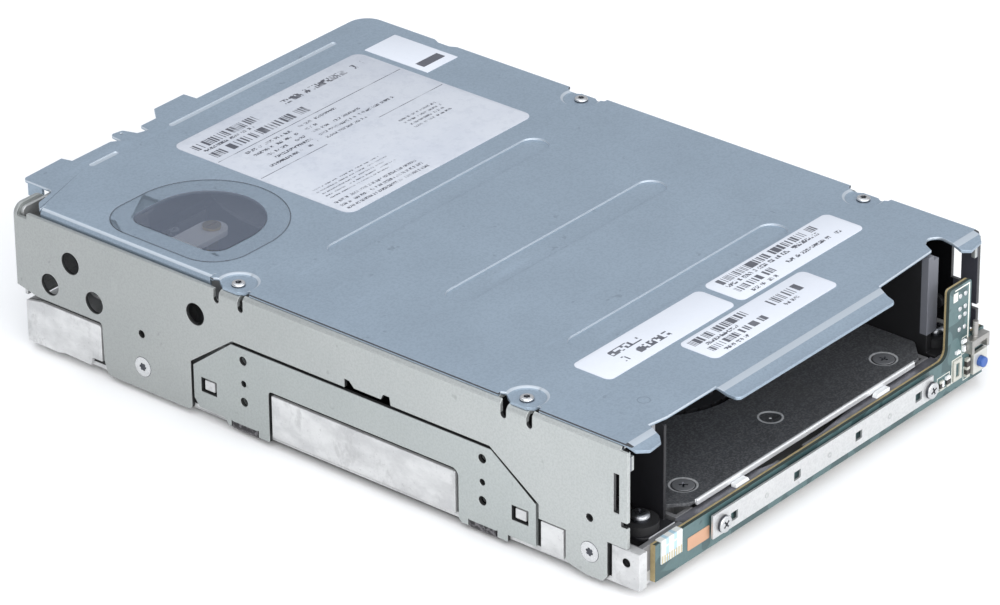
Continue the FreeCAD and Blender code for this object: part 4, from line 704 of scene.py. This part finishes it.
def modelScrew(plan):
    radius, height = plan["radius"] * mm, plan["height"] * mm
    screw = freshRod(screwShape["sides"], radius, height, (0, 0, -height / 2))
    beginEdit(screw)
    pickEdges(screw, lambda a, b: a.z > -0.00001 and b.z > -0.00001)
    bpy.ops.mesh.bevel(offset=plan["crown"] * mm, segments=screwShape["crownSteps"], profile=0.5)

    def isTop(centre, normal):
        return normal.z > 0.99 and centre.xy.length < 0.00002

    pickFaces(screw, isTop)
    bpy.ops.mesh.inset(thickness=radius - (plan["crown"] + plan["recess"]) * mm)
    share = 360 / plan["lobes"]

    def between(corner):                    # rim points of the recess that lie between two lobes
        angle = math.degrees(math.atan2(corner.y, corner.x)) % share
        onRim = corner.z > -0.00001 and corner.xy.length < plan["recess"] * mm + 0.00001
        return onRim and screwShape["wedge"] < angle < share - screwShape["wedge"]

    pickCorners(screw, between)
    pull = screwShape["starPull"] if plan["lobes"] == 6 else screwShape["crossPull"]
    bpy.ops.transform.resize(value=(pull, pull, 1), center_override=(0, 0, 0))
    pickFaces(screw, isTop)
    bpy.ops.mesh.extrude_region_move(TRANSFORM_OT_translate={"value": (0, 0, -plan["deep"] * mm)})
    bpy.ops.transform.resize(value=(screwShape["taper"], screwShape["taper"], 1), center_override=(0, 0, 0))
    pickFaces(screw, lambda centre, normal: normal.z < -0.99)
    bpy.ops.mesh.inset(thickness=radius - plan["shank"] * mm)
    bpy.ops.mesh.extrude_region_move(TRANSFORM_OT_translate={"value": (0, 0, -plan["length"] * mm)})
    endEdit()
    dress(screw, finishes[plan["finish"]])
    screw.data.materials.append(finishes["recess"].material)
    for face in screw.data.polygons:        # painted shade: the recess, the foot of the head and the outer ring take the dark recess finish
        reach = face.center.xy.length
        level = face.center.z
        inRecess = reach < plan["recess"] * mm and -height * 0.95 < level < -0.00001
        onRim = reach > radius * 0.97 and level < -plan["crown"] * mm * 0.9
        onRing = reach > radius - plan["ring"] * mm
        face.material_index = int(inRecess or onRim or onRing or level < -height * 1.01)
    return screw


def screwSpots(node, plan):                 # tops of the heads, from the node's box
    low, high = corners(node)
    reach = plan["reach"] * mm
    if plan["up"][0]:
        height = middle(node).z
        return [(Vector((x, y, height)), Vector((sign, 0, 0))) for x, sign in ((low.x, -1), (high.x, 1))
                for y in (low.y + reach, high.y - reach)]
    if plan["up"][1]:
        height = middle(node).z
        return [(Vector((x, low.y, height)), Vector(plan["up"])) for x in (low.x + reach, high.x - reach)]
    return [(Vector((x, y, high.z)), Vector(plan["up"])) for x in (low.x + reach, high.x - reach)
            for y in (low.y + reach, high.y - reach)]


for node, plan in screwPlan.items():
    model = modelScrew(plan)
    copies = []
    for count, (spot, up) in enumerate(screwSpots(node, plan)):
        spin = Matrix.Rotation(0.7 + 1.3 * count, 4, "Z")        # each screw stopped at its own angle
        turn = up.to_track_quat("Z", "Y").to_matrix().to_4x4()
        copies.append(copyAt(model, Matrix.Translation(spot) @ turn @ spin))
    bpy.data.objects.remove(model)
    heads = joined(copies)
    finished(heads, node + "_heads", finishes[plan["finish"]], "chassis", [node], 30)
print("screws set:", len(screwPlan))


# A label has its left front corner, from the cover's middle and front edge, its size and its rounding in
# millimetres. Its rows are (kind, left, right, front, rear, size): shares of its width and depth, and the
# width of a bar or dash in millimetres.
labelPlan = {
    "label_plain": {"spot": (-50.2, 28.9), "size": (50.8, 12.3), "corner": 2.0, "wear": 0.1, "rows": [
        ("words", 0.20, 0.46, 0.56, 0.76, 2.4), ("words", 0.20, 0.56, 0.24, 0.44, 2.1)]},
    "label_codes": {"spot": (2.9, 28.9), "size": (51.9, 12.8), "corner": 2.0, "wear": 0.1, "rows": [
        ("code", 0.07, 0.84, 0.70, 0.92, 0.30), ("words", 0.07, 0.80, 0.54, 0.65, 0.9),
        ("code", 0.07, 0.36, 0.26, 0.46, 0.30), ("words", 0.46, 0.90, 0.27, 0.37, 0.8),
        ("words", 0.12, 0.32, 0.08, 0.18, 0.8)]},
    "label_front": {"spot": (-25.4, 15.4), "size": (50.9, 12.0), "corner": 2.0, "wear": 0.1, "rows": [
        ("code", 0.04, 0.47, 0.66, 0.90, 0.30), ("words", 0.06, 0.34, 0.50, 0.60, 0.8),
        ("code", 0.06, 0.50, 0.24, 0.44, 0.30), ("words", 0.10, 0.32, 0.07, 0.17, 0.8),
        ("code", 0.62, 0.86, 0.48, 0.76, 0.34), ("words", 0.66, 0.77, 0.30, 0.40, 0.8)]},
    "label_ratings": {"spot": (-23.0, 137.2), "size": (75.0, 63.0), "corner": 3.0, "wear": 1.0, "rows": [
        ("words", 0.51, 0.95, 0.895, 0.935, 1.5), ("code", 0.03, 0.37, 0.88, 0.935, 0.34),
        ("words", 0.03, 0.30, 0.85, 0.868, 0.9), ("code", 0.03, 0.53, 0.775, 0.83, 0.34),
        ("rule", 0.01, 0.99, 0.742, 0.746, 1.0),
        ("words", 0.12, 0.36, 0.700, 0.718, 0.8), ("words", 0.13, 0.36, 0.660, 0.678, 0.8),
        ("words", 0.15, 0.36, 0.620, 0.638, 0.8), ("words", 0.16, 0.36, 0.580, 0.598, 0.8),
        ("words", 0.10, 0.36, 0.540, 0.558, 0.8), ("words", 0.40, 0.60, 0.700, 0.716, 0.7),
        ("words", 0.40, 0.46, 0.660, 0.676, 0.7), ("words", 0.40, 0.66, 0.620, 0.636, 0.7),
        ("words", 0.40, 0.80, 0.580, 0.596, 0.7), ("words", 0.40, 0.62, 0.540, 0.556, 0.7),
        ("rule", 0.01, 0.36, 0.500, 0.504, 1.0), ("rule", 0.64, 0.99, 0.500, 0.504, 1.0),
        ("words", 0.66, 0.86, 0.405, 0.418, 0.5), ("words", 0.66, 0.86, 0.375, 0.388, 0.5),
        ("words", 0.66, 0.86, 0.345, 0.358, 0.5), ("words", 0.66, 0.86, 0.315, 0.328, 0.5),
        ("words", 0.05, 0.40, 0.255, 0.263, 0.6), ("words", 0.05, 0.42, 0.230, 0.238, 0.6),
        ("words", 0.05, 0.38, 0.205, 0.213, 0.6), ("words", 0.05, 0.42, 0.180, 0.188, 0.6),
        ("words", 0.05, 0.36, 0.155, 0.163, 0.6), ("words", 0.03, 0.46, 0.105, 0.122, 0.5),
        ("words", 0.03, 0.46, 0.070, 0.087, 0.5), ("words", 0.03, 0.46, 0.035, 0.052, 0.5)]},
    "label_small": {"spot": (54.3, 176.8), "size": (12.9, 22.9), "corner": 0.2, "wear": 0.1, "rows": [
        ("rule", 0.16, 0.86, 0.13, 0.27, 1.0)]}}
labelThickness = 0.10
inkPlan = {"shift": 0.013, "bars": 0.46, "gaps": 0.20, "breaks": 0.40, "fine": 0.36, "lines": 3.01,
           "ink": (0.030, 0.032, 0.048)}


def printedPaper(name, plan, low):
    finish = Finish(name, 0.0, 0.55)
    x, y = finish.axis("X"), finish.axis("Y")
    fibre = finish.noise(900.0, 3.0)
    grime = finish.band(finish.noise(35.0, 6.0, 0.75), 0.38, 0.72) * plan["wear"]
    speck = finish.band(finish.noise(420.0, 4.0, 0.7), 0.50, 0.62) * plan["wear"]
    age = 1 - 0.20 * plan["wear"]
    paper = finish.blend(fibre * 0.3, shade((0.64, 0.67, 0.73), age), shade((0.57, 0.60, 0.66), age))
    paper = finish.blend(grime * 0.50, paper, (0.40, 0.43, 0.50))
    paper = finish.blend(speck * 0.22, paper, (0.34, 0.37, 0.43))
    ink = None
    width, depth = (value * mm for value in plan["size"])
    for number, (kind, left, right, front, rear, size) in enumerate(plan["rows"]):
        mark = x.inside(low.x + width * left, low.x + width * right) \
            * y.inside(low.y + depth * front, low.y + depth * rear)
        along = x + number * inkPlan["shift"]
        cell = along.step(size * mm)
        if kind == "code":                  # upright bars of chance widths
            mark = mark * (finish.chance(cell, number) > inkPlan["bars"])
        if kind == "words":                 # plain broken dashes, which say nothing
            fine = along.step(size * inkPlan["fine"] * mm)
            line = (y - low.y).step(depth * (rear - front) / inkPlan["lines"])
            mark = mark * (finish.chance(cell, number) > inkPlan["gaps"]) \
                * (finish.chance(fine, number, line) > inkPlan["breaks"])
        ink = mark if ink is None else ink.either(mark)
    worn = 1 - finish.band(finish.noise(160.0, 4.0), 0.50, 0.66) * 0.6 * plan["wear"]
    printed = finish.blend(ink * worn * 0.92, paper, inkPlan["ink"])
    finish.set(BaseColor=printed, Roughness=0.50 + fibre * 0.12)
    finish.bump(fibre, 0.08, 0.00005)
    return finish


def cutLabel(name, plan):
    cover = corners("top_cover")
    width, depth = (value * mm for value in plan["size"])
    low = Vector((plan["spot"][0] * mm, cover[0].y + plan["spot"][1] * mm, filmFoot))
    thickness = labelThickness * mm
    centre = low + Vector((width, depth, thickness)) / 2
    label = freshBox(centre, (width, depth, thickness))
    beginEdit(label)
    pickEdges(label, lambda a, b: abs(a.z - b.z) > thickness / 2)
    bpy.ops.mesh.bevel(offset=plan["corner"] * mm, segments=8, profile=0.5)
    pickEdges(label, lambda a, b: min(a.z, b.z) > centre.z)
    bpy.ops.mesh.bevel(offset=0.03 * mm, segments=2)
    endEdit()
    return finished(label, name, printedPaper(name + "_paper", plan, low))


for name, plan in labelPlan.items():
    cutLabel(name, plan)
print("labels laid:", len(labelPlan))


boardPlan = {                               # millimetres from the tab's top corner; the sticker from the foot
    "padRadius": 0.72, "padHeight": 0.22, "padColumns": (-4.9, -2.6), "padRows": (-3.2, -6.9, -9.2, -12.9),
    "sticker": (12.6, 21.2, 3.0, 6.6), "stickerHeight": 0.12, "stickerCorner": 0.3,
    "capSize": (1.5, 0.9, 0.75), "capWaist": (0.26, 0.86),
    "caps": ((-9.8, -24.8), (-12.0, -25.6), (-3.0, -17.0), (-2.8, -19.2), (-5.6, -19.2))}


def solderPads():
    face = corners("front_board")[0].y
    radius, height = boardPlan["padRadius"] * mm, boardPlan["padHeight"] * mm
    pad = freshRod(20, radius, height, (0, 0, height / 2))
    beginEdit(pad)
    pickEdges(pad, lambda a, b: a.z > height * 0.9 and b.z > height * 0.9)
    bpy.ops.mesh.bevel(offset=height * 0.8, segments=3)
    endEdit()
    turn = Matrix.Rotation(math.radians(90), 4, "X")
    copies = [copyAt(pad, Matrix.Translation((tabEdge + x * mm, face, tabTop + z * mm)) @ turn)
              for x in boardPlan["padColumns"] for z in boardPlan["padRows"]]
    bpy.data.objects.remove(pad)
    finished(joined(copies), "solder_pads", finishes["bright"])


def chipCaps():
    face = corners("front_board")[0].y
    length, depth, height = (value * mm for value in boardPlan["capSize"])
    share, pull = boardPlan["capWaist"]
    cap = freshBox((0, -height / 2, 0), (length, height, depth))
    beginEdit(cap)
    bpy.ops.mesh.select_all(action="SELECT")
    bpy.ops.mesh.subdivide(number_cuts=3)
    pickFaces(cap, lambda centre, normal: abs(centre.x) < length * share)
    bpy.ops.transform.resize(value=(1, pull, pull), center_override=(0, -height / 2, 0))
    endEdit()
    copies = [copyAt(cap, Matrix.Translation((tabEdge + x * mm, face, tabTop + z * mm))
                     @ Matrix.Rotation(math.radians(90 * (count % 2)), 4, "Y"))
              for count, (x, z) in enumerate(boardPlan["caps"])]
    bpy.data.objects.remove(cap)
    finished(joined(copies), "chip_capacitors", finishes["whitePlastic"])


def orangeSticker():
    low = corners("front_board")[0]
    left, right, bottom, top = (value * mm for value in boardPlan["sticker"])
    height = boardPlan["stickerHeight"] * mm
    centre = (low.x + (left + right) / 2, low.y - height / 2, low.z + (bottom + top) / 2)
    sticker = freshBox(centre, (right - left, height, top - bottom))
    beginEdit(sticker)
    pickEdges(sticker, lambda a, b: abs(a.y - b.y) > height / 2)
    bpy.ops.mesh.bevel(offset=boardPlan["stickerCorner"] * mm, segments=3)
    endEdit()
    finished(sticker, "orange_sticker", finishes["orange"])


dimplePlan = {                              # millimetres; drop is below the strip's middle height
    "radius": 0.75, "height": 0.16, "rim": 0.22, "deep": 0.14, "drop": 0.5, "sunk": 0.03,
    "spots": (-24.0, 2.0, 27.5)}


def stripDimples():                         # small pressed marks on the strip
    low, high = corners("board_stiffener")
    height = dimplePlan["height"] * mm
    dimple = freshRod(24, dimplePlan["radius"] * mm, height, (0, 0, height / 2))
    beginEdit(dimple)
    pickFaces(dimple, lambda centre, normal: normal.z > 0.9)
    bpy.ops.mesh.inset(thickness=dimplePlan["rim"] * mm)
    bpy.ops.mesh.extrude_region_move(TRANSFORM_OT_translate={"value": (0, 0, -dimplePlan["deep"] * mm)})
    bpy.ops.transform.resize(value=(0.5, 0.5, 1), center_override=(0, 0, 0))
    endEdit()
    turn = Matrix.Rotation(math.radians(90), 4, "X")
    level = (low.z + high.z) / 2 - dimplePlan["drop"] * mm
    copies = [copyAt(dimple, Matrix.Translation((x * mm, low.y + dimplePlan["sunk"] * mm, level)) @ turn)
              for x in dimplePlan["spots"]]
    bpy.data.objects.remove(dimple)
    finished(joined(copies), "strip_dimples", finishes["zincSide"])


nutPlan = {"radius": 1.9, "depth": 1.4, "height": 17.6, "edge": 0.2, "gap": 0.02}


def blindNuts():                            # closed nuts clinched behind the small holes of the walls, in near-black rubber finish as painted shade in the holes
    low, high = corners("side_screws")
    reach = screwPlan["side_screws"]["reach"] * mm
    radius, depth = nutPlan["radius"] * mm, nutPlan["depth"] * mm
    nut = freshRod(28, radius, depth, turn=(0, math.radians(90), 0))
    beginEdit(nut)
    pickEdges(nut, lambda a, b: a.x * b.x > 0 and abs(a.x - b.x) < 0.00001)
    bpy.ops.mesh.bevel(offset=nutPlan["edge"] * mm, segments=2)
    endEdit()
    inner = high.x - wallPlan["thick"] - nutPlan["gap"] * mm - depth / 2
    copies = [copyAt(nut, Matrix.Translation((side * inner, y, nutPlan["height"] * mm)))
              for side in (-1, 1) for y in (low.y + reach, high.y - reach)]
    bpy.data.objects.remove(nut)
    finished(joined(copies), "blind_nuts", finishes["rubber"])


blindNuts()
solderPads()
chipCaps()
orangeSticker()
stripDimples()
print("nuts and front board details set")


studio = {
    "cameraSpot": (-0.9365, -0.79105, 0.6679), "azimuth": -49.927, "elevation": 28.021, "roll": -0.519,
    "lens": 191.26, "sensor": 36.0, "nearest": 0.05, "floorSize": 6.0, "floorDrop": 0.0005,
    "floor": (0.93, 0.93, 0.93), "world": (0.93, 0.95, 1.0), "worldStrength": 0.60}
lampPlan = {                                # spot, aim, size in metres, power in watts, colour
    "key": ((-1.3, -0.5, 1.3), (0, 0, 0), (1.8, 1.8), 16, (1, 1, 1)),
    "side": ((-0.62, -0.68, 0.46), (-0.06, -0.08, 0.02), (0.9, 0.7), 2.8, (1, 1, 1)),
    "front": ((0.5, -1.8, 1.0), (0, -0.1, 0), (2.2, 1.4), 15, (1, 1, 1)),
    "low": ((-0.25, -1.5, 0.40), (0, -0.06, 0.02), (1.4, 0.6), 7, (1, 1, 1)),
    "over": ((0.2, 0.4, 2.0), (0, 0, 0), (2.4, 2.4), 17, (0.92, 0.96, 1.0))}


def addCamera():
    bpy.ops.object.camera_add()
    camera = bpy.context.object
    turn = Matrix.Rotation(math.radians(studio["azimuth"]), 4, "Z")
    tilt = Matrix.Rotation(math.radians(90 - studio["elevation"]), 4, "X")
    roll = Matrix.Rotation(math.radians(studio["roll"]), 4, "Z")
    camera.matrix_world = Matrix.Translation(studio["cameraSpot"]) @ turn @ tilt @ roll
    camera.data.lens = studio["lens"]
    camera.data.sensor_width = studio["sensor"]
    camera.data.clip_start = studio["nearest"]
    bpy.context.scene.camera = camera


def addLamp(name, spot, aim, size, power, colour):
    bpy.ops.object.light_add(type="AREA", location=spot)
    lamp = bpy.context.object
    lamp.name = name
    lamp.data.shape = "RECTANGLE"
    lamp.data.size = size[0]
    lamp.data.size_y = size[1]
    lamp.data.energy = power
    lamp.data.color = colour
    lamp.rotation_euler = (Vector(aim) - Vector(spot)).to_track_quat("-Z", "Y").to_euler()


def addFloor():
    bpy.ops.mesh.primitive_plane_add(size=studio["floorSize"], location=(0, 0, -studio["floorDrop"]))
    floor = bpy.context.object
    floor.name = "studio_floor"
    finish = Finish("studio_floor", 0.0, 0.9)
    finish.set(BaseColor=studio["floor"])
    floor.data.materials.append(finish.material)


def addWorld():
    world = bpy.data.worlds.new("studio")
    world.use_nodes = True
    tree = world.node_tree
    background = tree.nodes["Background"]
    background.inputs["Color"].default_value = (*studio["world"], 1)
    background.inputs["Strength"].default_value = studio["worldStrength"]
    bpy.context.scene.world = world


addCamera()
addWorld()
addFloor()
for name, lamp in lampPlan.items():
    addLamp(name, *lamp)
bpy.context.scene.view_settings.view_transform = "Standard"
print("studio lit")
